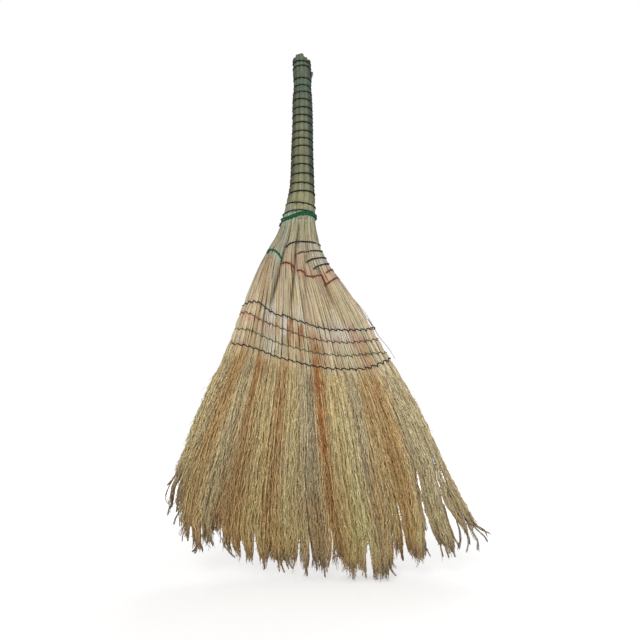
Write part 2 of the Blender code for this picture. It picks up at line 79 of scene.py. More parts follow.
# Camera: focal length in pixels of a square picture, place, and upward tilt.
PICTURE = 640
FOCAL = 620.0
CAMERA_FROM_AXIS = (0.02932, -0.9078, 0.203)
CAMERA_TILT = math.radians(10)

# The seed of every random draw; each kind of thing adds a number of its own.
SEED = 11
UP = np.array((0.0, 0.0, 1.0))
TINY = 1e-12
# Nothing reaches lower than this over the floor.
FLOOR_GAP = 0.0006


def middle_of(node):
    low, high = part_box(node)
    return [(a + b) / 2 for a, b in zip(low, high)]


AXIS_X, AXIS_Y = middle_of("stalk_10")[:2]
CAMERA_PLACE = np.array((AXIS_X, AXIS_Y, 0.0)) + CAMERA_FROM_AXIS


# Reading tables.

def between(start, end, share):
    return start + (end - start) * share


def read_line(rows, places):
    return np.interp(places, [row[0] for row in rows], [row[1] for row in rows])


def read_smooth(rows, places):
    """Value of a table of (place, value) pairs along a smooth curve, level past its ends."""
    xs = np.array([row[0] for row in rows])
    ys = np.array([row[1] for row in rows])
    before = np.maximum(np.arange(len(xs)) - 1, 0)
    after = np.minimum(np.arange(len(xs)) + 1, len(xs) - 1)
    slopes = (ys[after] - ys[before]) / (xs[after] - xs[before])
    places = np.clip(places, xs[0], xs[-1])
    low = np.clip(np.searchsorted(xs, places, side="right") - 1, 0, len(xs) - 2)
    span = xs[low + 1] - xs[low]
    t = (places - xs[low]) / span
    start = ys[low] * (1 + 2 * t) * (1 - t) ** 2 + slopes[low] * span * t * (1 - t) ** 2
    end = ys[low + 1] * t * t * (3 - 2 * t) - slopes[low + 1] * span * t * t * (1 - t)
    return start + end


def ease(start, end, values):
    """0 before start, 1 after end, smooth between."""
    t = np.clip((values - start) / (end - start), 0.0, 1.0)
    return t * t * (3 - 2 * t)


def bell(values, width):
    return np.exp(-(values / width) ** 2)


def wave(heights, size, length, phase):
    return size * np.sin(heights / length + phase)


# The fan's sections.

def fan_sides(height):
    share = height / NECK_HEIGHT
    left = AXIS_X - LEFT_REACH * read_smooth(LEFT_EDGE, share)
    right = AXIS_X + RIGHT_REACH * read_smooth(RIGHT_EDGE, share)
    return left, right


def fan_depth(height):
    return read_smooth(DEPTH_LINE, height / NECK_HEIGHT)


def fan_power(height):
    return read_line(POWER_LINE, height / NECK_HEIGHT)


def across_of(x, height):
    left, right = fan_sides(height)
    return (x - left) / (right - left)


def row_height(row, across):
    return FIRST_ROW_LOW - row * ROW_PITCH + ROW_SAG * read_smooth(ROW_RISE, np.clip(across, 0, 1))


class Outline:
    """The outline of every section of the fan, read by height and by share round it."""

    LOW = -0.01
    HIGH = 0.575
    LEVELS = 235
    STEPS = 480

    def __init__(self):
        self.heights = np.linspace(self.LOW, self.HIGH, self.LEVELS)
        angles = math.pi + np.linspace(0, 2 * math.pi, 4 * self.STEPS + 1)
        shares = np.linspace(0, 1, self.STEPS + 1)
        self.table = np.zeros((self.LEVELS, self.STEPS + 1, 4))
        self.girth = np.zeros(self.LEVELS)
        cos, sin = np.cos(angles), np.sin(angles)
        for i, height in enumerate(self.heights):
            left, right = fan_sides(height)
            power = 2 / fan_power(height)
            x = (left + right) / 2 + (right - left) / 2 * np.sign(cos) * np.abs(cos) ** power
            y = AXIS_Y + fan_depth(height) * np.sign(sin) * np.abs(sin) ** power
            run = np.concatenate(([0], np.cumsum(np.hypot(np.diff(x), np.diff(y)))))
            self.girth[i] = run[-1]
            x = np.interp(shares, run / run[-1], x)
            y = np.interp(shares, run / run[-1], y)
            tangent_x = np.gradient(x)
            tangent_y = np.gradient(y)
            tangent_x[[0, -1]] = 0.0
            tangent_y[[0, -1]] = -1.0
            long = np.hypot(tangent_x, tangent_y)
            self.table[i] = np.stack((x, y, tangent_y / long, -tangent_x / long), axis=1)

    def read(self, share, height):
        """x, y and the outward direction at a share round the outline."""
        share, height = np.broadcast_arrays(np.asarray(share, float) % 1.0, height)
        level = np.clip((height - self.LOW) / (self.HIGH - self.LOW), 0, 1) * (self.LEVELS - 1)
        step = share * self.STEPS
        i = np.minimum(level.astype(int), self.LEVELS - 2)
        j = np.minimum(step.astype(int), self.STEPS - 1)
        a = (level - i)[..., None]
        b = (step - j)[..., None]
        upper = between(self.table[i, j], self.table[i, j + 1], b)
        lower = between(self.table[i + 1, j], self.table[i + 1, j + 1], b)
        return between(upper, lower, a)

    def place(self, share, height, inset):
        """Points at a depth under the outline."""
        found = self.read(share, height)
        x = found[..., 0] - found[..., 2] * inset
        y = found[..., 1] - found[..., 3] * inset
        return np.stack((x, y, np.broadcast_to(height, x.shape)), axis=-1)

    def girth_at(self, height):
        return np.interp(height, self.heights, self.girth)

    def share_at(self, x, height):
        """The share round the outline of a place at x on the front."""
        level = (height - self.LOW) / (self.HIGH - self.LOW) * (self.LEVELS - 1)
        front = self.table[int(round(level)), : self.STEPS // 2 + 1, 0]
        return np.interp(x, front, np.linspace(0, 0.5, len(front)))


outline = Outline()


def seen_ray(px, py):
    """Direction from the camera through a pixel of the picture."""
    forward = np.array((0.0, math.cos(CAMERA_TILT), math.sin(CAMERA_TILT)))
    upward = np.array((0.0, -math.sin(CAMERA_TILT), math.cos(CAMERA_TILT)))
    side = np.array((1.0, 0.0, 0.0))
    return FOCAL * forward + (px - PICTURE / 2) * side + (PICTURE / 2 - py) * upward


def seen_at_depth(px, py, y):
    """The place at y that shows at a pixel of the picture."""
    ray = seen_ray(px, py)
    return CAMERA_PLACE + ray * ((y - CAMERA_PLACE[1]) / ray[1])


def seen_at(points):
    """Pixels of the picture and distances in front of the camera for points."""
    away = points - CAMERA_PLACE
    cos, sin = math.cos(CAMERA_TILT), math.sin(CAMERA_TILT)
    far = away[..., 1] * cos + away[..., 2] * sin
    high = away[..., 2] * cos - away[..., 1] * sin
    return PICTURE / 2 + FOCAL * away[..., 0] / far, PICTURE / 2 - FOCAL * high / far, far


# First guess at how far the fan's front lies from the axis, and how often it is bettered.
FRONT_GUESS = 0.016
FRONT_TRIES = 6


def seen_on_front(px, py):
    """(share round the outline, height) of the fan's front at a pixel."""
    y = AXIS_Y - FRONT_GUESS
    for _ in range(FRONT_TRIES):
        place = seen_at_depth(px, py, y)
        share = outline.share_at(place[0], place[2])
        y = outline.place(np.array(share), np.array(place[2]), 0.0)[1]
    return float(share), float(place[2])


# Meshes.

def make_mesh(name, points, faces, face_sides, colours, grain, uvs):
    """A mesh from arrays. faces is a flat list of corners; face_sides says how many each face has."""
    mesh = bpy.data.meshes.new(name)
    mesh.vertices.add(len(points))
    mesh.vertices.foreach_set("co", np.ascontiguousarray(points, np.float32).ravel())
    mesh.loops.add(len(faces))
    mesh.loops.foreach_set("vertex_index", np.ascontiguousarray(faces, np.int32))
    starts = np.concatenate(([0], np.cumsum(face_sides)[:-1]))
    mesh.polygons.add(len(face_sides))
    mesh.polygons.foreach_set("loop_start", starts.astype(np.int32))
    mesh.polygons.foreach_set("use_smooth", np.ones(len(face_sides), bool))
    layer = mesh.attributes.new("fibre_colour", "FLOAT_COLOR", "POINT")
    full = np.concatenate((colours, np.ones((len(colours), 1))), axis=1)
    layer.data.foreach_set("color", full.astype(np.float32).ravel())
    layer = mesh.attributes.new("grain", "FLOAT_VECTOR", "POINT")
    layer.data.foreach_set("vector", grain.astype(np.float32).ravel())
    layer = mesh.uv_layers.new(name="OFBake")
    layer.data.foreach_set("uv", uvs.astype(np.float32).ravel())
    mesh.update(calc_edges=True)
    mesh.validate()
    return mesh


# Texture strips: where a tube's wall and its ends lie in its own cell of the map.
STRIP_START = 0.08
STRIP_LENGTH = 0.9
STRIP_FOOT = 0.1
STRIP_WIDTH = 0.8
STRIP_MIDDLE = 0.5
END_PLACE = 0.04
END_WIDTH = 0.02
END_HEIGHT = 0.3
CELL_LENGTH = 8
STRIP_SPARE = 0.995
# How far the grain of one strand lies from the next one's.
GRAIN_STEPS = (3.0, 5.0)


def tubes(paths, radii, sides, colours, chance):
    """Arrays of one mesh of many tubes: paths (strands, steps, 3), radii and colours along them."""
    count, steps = paths.shape[:2]
    tangent = np.gradient(paths, axis=1)
    tangent /= np.linalg.norm(tangent, axis=2, keepdims=True) + TINY
    side = np.cross(tangent, np.array((0.0, 1.0, 0.0)))
    side /= np.linalg.norm(side, axis=2, keepdims=True) + TINY
    other = np.cross(side, tangent)
    angles = 2 * math.pi * np.arange(sides) / sides
    turned = angles[None, :] + chance.uniform(0, 2 * math.pi, count)[:, None]
    cos = np.cos(turned)[:, None, :, None]
    sin = np.sin(turned)[:, None, :, None]
    ring = cos * side[:, :, None, :] + sin * other[:, :, None, :]
    points = paths[:, :, None, :] + ring * radii[:, :, None, None]
    along = np.concatenate((
        np.zeros((count, 1)),
        np.cumsum(np.linalg.norm(np.diff(paths, axis=1), axis=2), axis=1),
    ), axis=1)
    own = chance.uniform(0, 1, (count, 1, 1))
    grain = np.stack(np.broadcast_arrays(
        cos[..., 0] * radii[:, :, None] + own * GRAIN_STEPS[0],
        sin[..., 0] * radii[:, :, None] + own * GRAIN_STEPS[1],
        along[:, :, None] + own,
    ), axis=-1)
    colours = np.broadcast_to(colours[:, :, None, :], points.shape)

    number = np.arange(count * steps * sides).reshape(count, steps, sides)
    here = number[:, :-1, :]
    below = number[:, 1:, :]
    walls = np.stack((here, below, np.roll(below, -1, axis=2), np.roll(here, -1, axis=2)), axis=-1)
    caps = np.concatenate((number[:, 0, :], number[:, -1, ::-1]), axis=0)
    faces = np.concatenate((walls.reshape(-1), caps.reshape(-1)))
    face_sides = np.concatenate((
        np.full(count * (steps - 1) * sides, 4), np.full(2 * count, sides),
    ))

    columns = max(1, int(math.sqrt(count / CELL_LENGTH)))
    rows = -(-count // columns)
    column = (np.arange(count) % columns)[:, None, None]
    row = (np.arange(count) // columns)[:, None, None]
    k = np.arange(steps - 1)[None, :, None]
    j = np.arange(sides)[None, None, :]
    us = [
        (column + STRIP_START + STRIP_LENGTH * (k + step) / (steps - 1)) / columns + 0 * j
        for step in (0, 1, 1, 0)
    ]
    vs = [
        (row + STRIP_FOOT + STRIP_WIDTH * (j + step) / sides) / rows + 0 * k
        for step in (0, 0, 1, 1)
    ]
    wall_uvs = np.stack((np.stack(us, axis=-1), np.stack(vs, axis=-1)), axis=-1)
    cap_u = (column[:, :, 0] + END_PLACE + END_WIDTH * np.cos(angles)[None, :]) / columns
    cap_v = (row[:, :, 0] + STRIP_MIDDLE + END_HEIGHT * np.sin(angles)[None, :]) / rows
    cap_uvs = np.stack((cap_u, cap_v), axis=-1).reshape(-1, 2)
    uvs = np.concatenate((wall_uvs.reshape(-1, 2), cap_uvs, cap_uvs))
    return points.reshape(-1, 3), faces, face_sides, colours.reshape(-1, 3), grain.reshape(-1, 3), uvs


def join_arrays(parts):
    """One set of mesh arrays out of several, their texture strips side by side."""
    total = sum(len(part[0]) for part in parts)
    joined = []
    start = 0
    placed = 0.0
    for points, faces, sides, colours, grain, uvs in parts:
        share = len(points) / total
        uvs = uvs * np.array((1.0, share * STRIP_SPARE)) + np.array((0.0, placed))
        joined.append((points, faces + start, sides, colours, grain, uvs))
        start += len(points)
        placed += share
    return [np.concatenate(group) for group in zip(*joined)]


def add_linked(name, data):
    """A new object in the scene that shows data."""
    linked = bpy.data.objects.new(name, data)
    bpy.context.collection.objects.link(linked)
    return linked


def add_piece(name, mesh, material, nodes=()):
    piece = add_linked(name, mesh)
    mesh.materials.append(material)
    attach(piece, "root")
    if nodes:
        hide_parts(*nodes)


# Points put between two given ones before a path is spaced evenly, and the fewest steps of a path.
FINE_STEPS = 12
FEWEST_STEPS = 4


def smooth_path(points, step, closed=False):
    """Points at an even step along a smooth curve through the given ones."""
    points = np.asarray(points, float)
    if closed:
        padded = np.concatenate((points[-1:], points, points[:2]))
    else:
        padded = np.concatenate((2 * points[:1] - points[1:2], points, 2 * points[-1:] - points[-2:-1]))
    fine = []
    t = np.linspace(0, 1, FINE_STEPS, endpoint=False)[:, None]
    for a, b, c, d in zip(padded, padded[1:], padded[2:], padded[3:]):
        bend_b = (c - a) / 2
        bend_c = (d - b) / 2
        fine.append(
            b * (1 + 2 * t) * (1 - t) ** 2 + bend_b * t * (1 - t) ** 2
            + c * t * t * (3 - 2 * t) - bend_c * t * t * (1 - t)
        )
    fine.append(padded[-2:-1])
    fine = np.concatenate(fine)
    run = np.concatenate(([0], np.cumsum(np.linalg.norm(np.diff(fine, axis=0), axis=1))))
    count = max(int(run[-1] / step), FEWEST_STEPS)
    even = np.linspace(0, run[-1], count + 1)
    path = np.stack([np.interp(even, run, fine[:, axis]) for axis in range(3)], axis=1)
    return path[:-1] if closed else path


# Laid twine: its plies, how deep the lay cuts, its pitch in widths, and how its ends wear.
PLIES = 2
PLY_DEPTH = 0.30
PITCH_WIDTHS = 2.6
STEPS_PER_PITCH = 8
TWINE_SIDES = 10
THREAD_SIDES = 8
END_WEAR = 0.35
END_DIM = 0.30
FULL_WEAR_SHARE = 0.8
FULL_DARK_SHARE = 0.4
STEEP = 0.9
HAIR = 1e-9
# Texture strips of a twine: steps on a lane, and where the strip and the ends lie.
LANE_STEPS = 60
LANE_START = 0.01
LANE_LENGTH = 0.98
TWINE_END_PLACES = (0.3, 0.7)
TWINE_END_WIDTH = 0.1


def twine_mesh(name, points, radius, closed=False, sides=TWINE_SIDES, dark_start=0.0, thin_end=0.0):
    """A laid twine through points: a lobed section that turns once in every pitch along its path."""
    pitch = radius * 2 * PITCH_WIDTHS
    path = smooth_path(points, pitch / STEPS_PER_PITCH, closed)
    count = len(path)
    if closed:
        tangent = np.roll(path, -1, axis=0) - np.roll(path, 1, axis=0)
    else:
        tangent = np.gradient(path, axis=0)
    tangent /= np.linalg.norm(tangent, axis=1, keepdims=True)
    along = np.concatenate(([0], np.cumsum(np.linalg.norm(np.diff(path, axis=0), axis=1))))
    length = along[-1] + (np.linalg.norm(path[0] - path[-1]) if closed else 0.0)
    normals = np.zeros_like(path)
    start = np.cross(tangent[0], UP if abs(tangent[0][2]) < STEEP else np.array((1.0, 0.0, 0.0)))
    normals[0] = start / np.linalg.norm(start)
    for i in range(1, count):
        kept = normals[i - 1] - tangent[i] * np.dot(normals[i - 1], tangent[i])
        normals[i] = kept / np.linalg.norm(kept)
    drift = 0.0
    if closed:
        last = normals[-1] - tangent[0] * np.dot(normals[-1], tangent[0])
        last /= np.linalg.norm(last)
        drift = math.atan2(np.dot(np.cross(last, normals[0]), tangent[0]), np.dot(last, normals[0]))
    turns = max(round(length / pitch), 1)
    spin = (2 * math.pi * turns + drift) * along / length
    other = np.cross(tangent, normals)
    angles = 2 * math.pi * np.arange(sides) / sides
    lobes = 1 - PLY_DEPTH * (1 - np.cos(PLIES * angles)) / 2
    turned = angles[None, :] + spin[:, None]
    ring = np.cos(turned)[..., None] * normals[:, None, :] + np.sin(turned)[..., None] * other[:, None, :]
    worn = ease(length - thin_end - HAIR, length - thin_end * FULL_WEAR_SHARE, along)
    points = path[:, None, :] + ring * (radius * lobes[None, :] * (1 - END_WEAR * worn)[:, None])[..., None]
    dark = ease(dark_start, dark_start * FULL_DARK_SHARE - HAIR, along)
    dim = 1 - END_DIM * np.maximum(dark, worn)
    # The colour carries painted shade in the crevices between the plies, and the darker start and worn end.
    shade = np.broadcast_to(lobes[None, :, None] * dim[:, None, None], (count, sides, 3))
    grain = np.stack(np.broadcast_arrays(
        np.cos(angles)[None, :] * radius, np.sin(angles)[None, :] * radius, along[:, None],
    ), axis=-1)

    number = np.arange(count * sides).reshape(count, sides)
    here = number if closed else number[:-1]
    below = np.roll(number, -1, axis=0) if closed else number[1:]
    walls = np.stack((here, np.roll(here, -1, axis=1), np.roll(below, -1, axis=1), below), axis=-1)
    faces = [walls.reshape(-1)]
    face_sides = [np.full(len(here) * sides, 4)]
    k = np.arange(len(here))[:, None]
    j = np.arange(sides)[None, :]
    lanes = max(1, int(math.sqrt(len(here) / LANE_STEPS)))
    lane_steps = -(-len(here) // lanes)
    lane = k // lane_steps
    on_lane = k % lane_steps
    us = [(on_lane + s) / lane_steps * LANE_LENGTH + LANE_START + 0 * j for s in (0, 0, 1, 1)]
    vs = [(lane + STRIP_FOOT + STRIP_WIDTH * (j + s) / sides) / (lanes + 1) for s in (0, 1, 1, 0)]
    uvs = [np.stack((np.stack(us, axis=-1), np.stack(vs, axis=-1)), axis=-1).reshape(-1, 2)]
    if not closed:
        faces += [number[0, ::-1], number[-1]]
        face_sides.append(np.array([sides, sides]))
        end_v = (lanes + STRIP_MIDDLE + END_HEIGHT * np.sin(angles)) / (lanes + 1)
        uvs += [
            np.stack((place + TWINE_END_WIDTH * np.cos(angles), end_v), axis=1)
            for place in TWINE_END_PLACES
        ]
    return make_mesh(
        name, points.reshape(-1, 3), np.concatenate(faces), np.concatenate(face_sides),
        shade.reshape(-1, 3), grain.reshape(-1, 3), np.concatenate(uvs),
    )


# Materials.

NOISE_ROUGHNESS = 0.55


class Shader:
    """A material's nodes, added one at a time."""

    def __init__(self, name):
        self.material = bpy.data.materials.new(name)
        self.material.use_nodes = True
        self.nodes = self.material.node_tree.nodes
        self.links = self.material.node_tree.links
        self.surface = self.nodes["Principled BSDF"]

    def add(self, kind, settings=None, **inputs):
        node = self.nodes.new(kind)
        for key, value in (settings or {}).items():
            setattr(node, key, value)
        for key, value in inputs.items():
            self.set(node, key.replace("_", " "), value)
        return node

    def set(self, node, key, value):
        socket = node.inputs[int(key)] if key.isdigit() else node.inputs[key]
        if isinstance(value, bpy.types.NodeSocket):
            self.links.new(value, socket)
        elif isinstance(value, tuple) and len(value) == 3 and socket.type == "RGBA":
            socket.default_value = (*value, 1.0)
        else:
            socket.default_value = value

    def attribute(self, name, output):
        return self.add("ShaderNodeAttribute", {"attribute_name": name}).outputs[output]

    def noise(self, vector, scale, detail=3.0):
        node = self.add("ShaderNodeTexNoise", Vector=vector, Scale=scale, Detail=detail)
        self.set(node, "Roughness", NOISE_ROUGHNESS)
        return node.outputs[0]

    def stretch(self, vector, scale):
        return self.add("ShaderNodeMapping", Vector=vector, Scale=scale).outputs[0]

    def ramp(self, value, *stops):
        node = self.add("ShaderNodeValToRGB", Fac=value)
        elements = node.color_ramp.elements
        while len(elements) < len(stops):
            elements.new(0.5)
        for element, (place, level) in zip(elements, stops):
            element.position = place
            element.color = (*level, 1.0) if isinstance(level, tuple) else (level, level, level, 1.0)
        return node.outputs[0]

    def mix(self, kind, amount, first, second):
        node = self.add("ShaderNodeMix", {"data_type": "RGBA", "blend_type": kind})
        self.set(node, "0", amount)
        self.set(node, "6", first)
        self.set(node, "7", second)
        return node.outputs[2]

    def math(self, kind, first, second):
        node = self.add("ShaderNodeMath", {"operation": kind})
        self.set(node, "0", first)
        self.set(node, "1", second)
        return node.outputs[0]

    def bump(self, height, distance, strength):
        return self.add("ShaderNodeBump", Height=height, Distance=distance, Strength=strength).outputs[0]

    def finish(self, colour, roughness, normal=None, **constants):
        self.set(self.surface, "Base Color", colour)
        self.set(self.surface, "Roughness", roughness)
        if normal is not None:
            self.set(self.surface, "Normal", normal)
        for key, value in constants.items():
            self.surface.inputs[key.replace("_", " ")].default_value = value
        return self.material


# Stretches of the noises by the strands' grain: sideways, sideways and lengthwise.
STREAK_STRETCH = (900.0, 900.0, 22.0)
PATCH_STRETCH = (60.0, 60.0, 9.0)
SPECK_STRETCH = 380.0
STRAW_SPECKS = 170.0
BRUSH_SPECKS = 480.0
TWINE_STRETCH = (2500.0, 2500.0, 260.0)
WORN_STRETCH = (40.0, 40.0, 30.0)
# Places of the ramps' two stops.
STREAK_STOPS = (0.30, 0.62)
SPECK_STOPS = (0.36, 0.56)
PATCH_STOPS = (0.52, 0.72)
DULL_STOPS = (0.3, 0.7)
PALER_STREAK = 0.35
STAIN_BROWN = (0.30, 0.17, 0.07)
STRAW_DULLER = 0.12
STRAW_SHINIER = 0.08
STRAW_SPECULAR = 0.32
STRAW_BUMP = 0.00025
STRAW_BUMP_STRENGTH = 0.6
# Ramps of the twines: (place, level) stops.
# The first ramp paints shade into the crevices between the plies.
PLY_SHADE_RAMP = ((0.70, 0.35), (0.97, 1.0))
FIBRE_RAMP = ((0.35, 0.0), (0.68, 1.0))
WORN_RAMP = ((0.45, 0.0), (0.72, 0.75))
TWINE_DULL_RAMP = ((0.3, 0.9), (0.7, 0.7))
TWINE_SPECULAR = 0.25
TWINE_SHEEN = 0.08
TWINE_SHEEN_ROUGHNESS = 0.6
TWINE_BUMP = 0.00012
TWINE_BUMP_STRENGTH = 0.7


def straw_material(name, streaks, speckle, stain, roughness, speck_scale=STRAW_SPECKS):
    """Plant stalk or fibre: its own colour, streaked lengthwise, with specks and stains."""
    shader = Shader(name)
    own = shader.attribute("fibre_colour", "Color")
    grain = shader.attribute("grain", "Vector")
    lengthwise = shader.noise(shader.stretch(grain, STREAK_STRETCH), 1.0, 4.0)
    levels = 1.0 - streaks, 1.0 + streaks * PALER_STREAK
    dark = shader.ramp(lengthwise, *zip(STREAK_STOPS, levels))
    colour = shader.mix("MULTIPLY", 1.0, own, dark)
    specks = shader.noise(shader.stretch(grain, (SPECK_STRETCH, SPECK_STRETCH, speck_scale)), 1.0, 2.0)
    spotted = shader.ramp(specks, *zip(SPECK_STOPS, (1.0 - speckle, 1.0)))
    colour = shader.mix("MULTIPLY", 1.0, colour, spotted)
    patches = shader.noise(shader.stretch(grain, PATCH_STRETCH), 1.0, 3.0)
    reach = shader.ramp(patches, *zip(PATCH_STOPS, (0.0, stain)))
    colour = shader.mix("MIX", reach, colour, STAIN_BROWN)
    levels = roughness + STRAW_DULLER, roughness - STRAW_SHINIER
    dull = shader.ramp(lengthwise, *zip(DULL_STOPS, levels))
    normal = shader.bump(lengthwise, STRAW_BUMP, STRAW_BUMP_STRENGTH)
    return shader.finish(colour, dull, normal, Specular_IOR_Level=STRAW_SPECULAR)


def twine_material(name, dark, light, stray):
    """Laid twine: painted shade between its plies, with paler and stray-coloured fibres along it."""
    shader = Shader(name)
    ply_shade_and_ends = shader.attribute("fibre_colour", "Fac")
    grain = shader.attribute("grain", "Vector")
    fibres = shader.noise(shader.stretch(grain, TWINE_STRETCH), 1.0, 3.0)
    # Painted shade between the plies.
    depth = shader.ramp(ply_shade_and_ends, *PLY_SHADE_RAMP)
    body = shader.mix("MIX", shader.ramp(fibres, *FIBRE_RAMP), dark, light)
    worn = shader.noise(shader.stretch(grain, WORN_STRETCH), 1.0, 2.0)
    body = shader.mix("MIX", shader.ramp(worn, *WORN_RAMP), body, stray)
    colour = shader.mix("MULTIPLY", 1.0, body, depth)
    dull = shader.ramp(fibres, *TWINE_DULL_RAMP)
    normal = shader.bump(fibres, TWINE_BUMP, TWINE_BUMP_STRENGTH)
    return shader.finish(
        colour, dull, normal,
        Specular_IOR_Level=TWINE_SPECULAR, Sheen_Weight=TWINE_SHEEN, Sheen_Roughness=TWINE_SHEEN_ROUGHNESS,
    )


culm_straw = straw_material("culm straw", 0.30, 0.12, 0.10, 0.60)
stem_straw = straw_material("stem straw", 0.32, 0.16, 0.25, 0.55)
brush_straw = straw_material("brush straw", 0.20, 0.42, 0.12, 0.68, BRUSH_SPECKS)
# Twines and threads: dark, light and stray colour.
TWINE_COLOURS = {
    "olive twine": ((0.006, 0.011, 0.003), (0.027, 0.038, 0.009), (0.008, 0.046, 0.020)),
    "green twine": ((0.004, 0.078, 0.032), (0.018, 0.280, 0.118), (0.008, 0.064, 0.030)),
    "slate twine": ((0.009, 0.009, 0.010), (0.032, 0.031, 0.032), (0.070, 0.030, 0.018)),
    "umber twine": ((0.048, 0.018, 0.008), (0.160, 0.062, 0.026), (0.040, 0.022, 0.013)),
    "rust twine": ((0.118, 0.034, 0.008), (0.360, 0.118, 0.026), (0.074, 0.026, 0.009)),
    "navy thread": ((0.006, 0.006, 0.012), (0.020, 0.020, 0.036), (0.040, 0.026, 0.024)),
    "red thread": ((0.200, 0.062, 0.032), (0.440, 0.160, 0.090), (0.200, 0.095, 0.040)),
    "green thread": ((0.050, 0.095, 0.040), (0.120, 0.190, 0.090), (0.150, 0.140, 0.080)),
}
twines = {name: twine_material(name, *colours) for name, colours in TWINE_COLOURS.items()}

# Plant colours.
STRAW = np.array((0.66, 0.54, 0.33))
CREAM = np.array((0.76, 0.66, 0.45))
TAN = np.array((0.58, 0.43, 0.24))
GREEN_STRAW = np.array((0.57, 0.52, 0.33))
GREY_STRAW = np.array((0.55, 0.50, 0.40))
PINK_STRAW = np.array((0.62, 0.48, 0.36))
BROWN = np.array((0.40, 0.26, 0.13))
RUST = np.array((0.42, 0.185, 0.055))
DEEP_BROWN = np.array((0.16, 0.10, 0.05))
PALE_STRAW = np.array((0.80, 0.74, 0.68))
RED_STAIN = np.array((0.66, 0.33, 0.22))
SLATE_STAIN = np.array((0.40, 0.37, 0.36))
MINT_STAIN = np.array((0.42, 0.56, 0.42))
CULM_GREEN = np.array((0.085, 0.112, 0.086))
CULM_GREY = np.array((0.232, 0.222, 0.134))
CULM_STRAW = np.array((0.300, 0.293, 0.148))
CULM_LILAC = np.array((0.224, 0.188, 0.150))
CULM_MINT = np.array((0.080, 0.160, 0.115))
CULM_PITH = np.array((0.42, 0.38, 0.27))
BRUSH_GOLD = np.array((0.93, 0.70, 0.32))
BRUSH_CREAM = np.array((0.97, 0.79, 0.42))
BRUSH_TAN = np.array((0.86, 0.65, 0.33))
BRUSH_GREEN = np.array((0.83, 0.68, 0.38))
BRUSH_ASH = np.array((0.88, 0.76, 0.50))
PALE_GREEN = np.array((0.97, 0.80, 0.47))
BRUSH_GREY = np.array((0.72, 0.62, 0.40))
PALE_BRUSH = np.array((0.97, 0.78, 0.42))
PALE_OLIVE = np.array((0.90, 0.75, 0.43))
BRUSH_BROWN = np.array((0.58, 0.34, 0.15))
BRUSH_RUST = np.array((0.60, 0.25, 0.07))
HUSK_ORANGE = np.array((0.70, 0.33, 0.10))
HUSK_BROWN = np.array((0.42, 0.25, 0.11))
HUSK_PALE = np.array((0.97, 0.80, 0.43))
BRUSH_ORANGE = np.array((0.76, 0.48, 0.19))


OWN_SHADE = (0.82, 1.16)
OWN_HUE = (0.96, 1.04)
BRIGHTEST = 0.97


def pick(chance, count, choices):
    """A colour for each of count things from (colour, weight) pairs, each a little its own."""
    weights = np.array([weight for colour, weight in choices])
    order = chance.choice(len(choices), count, p=weights / weights.sum())
    colours = np.array([colour for colour, weight in choices])[order]
    return colours * chance.uniform(*OWN_SHADE, (count, 1)) * chance.uniform(*OWN_HUE, (count, 3))


def bunch_of(across):
    """Number of the bunch, from 0 at the left, at shares across the fan."""
    return np.clip(np.searchsorted(BUNCH_EDGES, across, side="right") - 1, 0, len(BUNCH_EDGES) - 2)


# Marks on the fan: colour, strength, half width in pixels, and the pixels of the picture they run
# through. They go through the fan's whole depth, so that its back carries them too.
MARKS = (
    (PALE_STRAW, 0.65, 4.5, ((269, 306), (271, 322))), (PALE_STRAW, 0.65, 3.5, ((285, 318), (285, 332))),
    (PALE_STRAW, 0.55, 5.0, ((299, 312), (301, 326))), (PALE_STRAW, 0.55, 12.0, ((330, 334), (356, 336))),
    (PALE_STRAW, 0.25, 5.0, ((277, 340), (272, 352))), (PALE_STRAW, 0.30, 9.0, ((318, 250), (322, 262))),
    (RUST, 1.00, 2.8, ((290, 320), (289, 342))), (RUST, 0.95, 2.6, ((301, 326), (299, 346))),
    (RUST, 0.55, 2.2, ((302, 352), (303, 366))), (RUST, 0.50, 2.0, ((277, 318), (275, 334))),
    (RUST, 0.75, 4.0, ((313, 336), (316, 350))), (RUST, 1.15, 5.6, ((317, 350), (318, 384))),
    (RUST, 1.15, 5.4, ((319, 384), (324, 448))), (RUST, 0.55, 5.0, ((326, 448), (331, 505))),
    (RUST, 0.60, 3.2, ((352, 322), (355, 344))), (RUST, 0.65, 4.2, ((361, 336), (366, 354))),
    (RUST, 0.60, 6.0, ((368, 356), (377, 390))), (RUST, 0.25, 7.0, ((380, 395), (396, 470))),
    (RUST, 0.65, 2.6, ((260, 352), (255, 378), (251, 400))), (RUST, 0.45, 2.4, ((251, 400), (240, 440))),
    (RUST, 0.50, 4.0, ((286, 362), (279, 404))), (RUST, 0.36, 6.5, ((245, 346), (236, 370), (224, 398))),
    # The brown mark from (278, 268) to (270, 300) is painted shade beside the cleft of the left groove.
    (RUST, 0.40, 4.0, ((268, 258), (264, 296))), (BROWN, 0.55, 3.2, ((278, 268), (270, 300))),
    (BROWN, 0.42, 6.0, ((249, 330), (243, 356))), (BROWN, 0.22, 6.0, ((291, 346), (288, 360))),
    (RUST, 0.45, 3.2, ((328, 290), (331, 305))), (BROWN, 0.35, 3.0, ((342, 292), (350, 310))),
)
MARKS_DEPTH = -0.016
MARK_BY_STRAND = (0.5, 1.2)
MARK_BY_STEP = (0.5, 1.3)


def near_line(px, py, pixels):
    """Distances in the picture to a line through pixels."""
    nearest = np.full(np.broadcast(px, py).shape, np.inf)
    for (ax, ay), (bx, by) in zip(pixels, pixels[1:]):
        long = (bx - ax) ** 2 + (by - ay) ** 2
        t = np.clip(((px - ax) * (bx - ax) + (py - ay) * (by - ay)) / long, 0, 1)
        nearest = np.minimum(nearest, np.hypot(px - ax - t * (bx - ax), py - ay - t * (by - ay)))
    return nearest


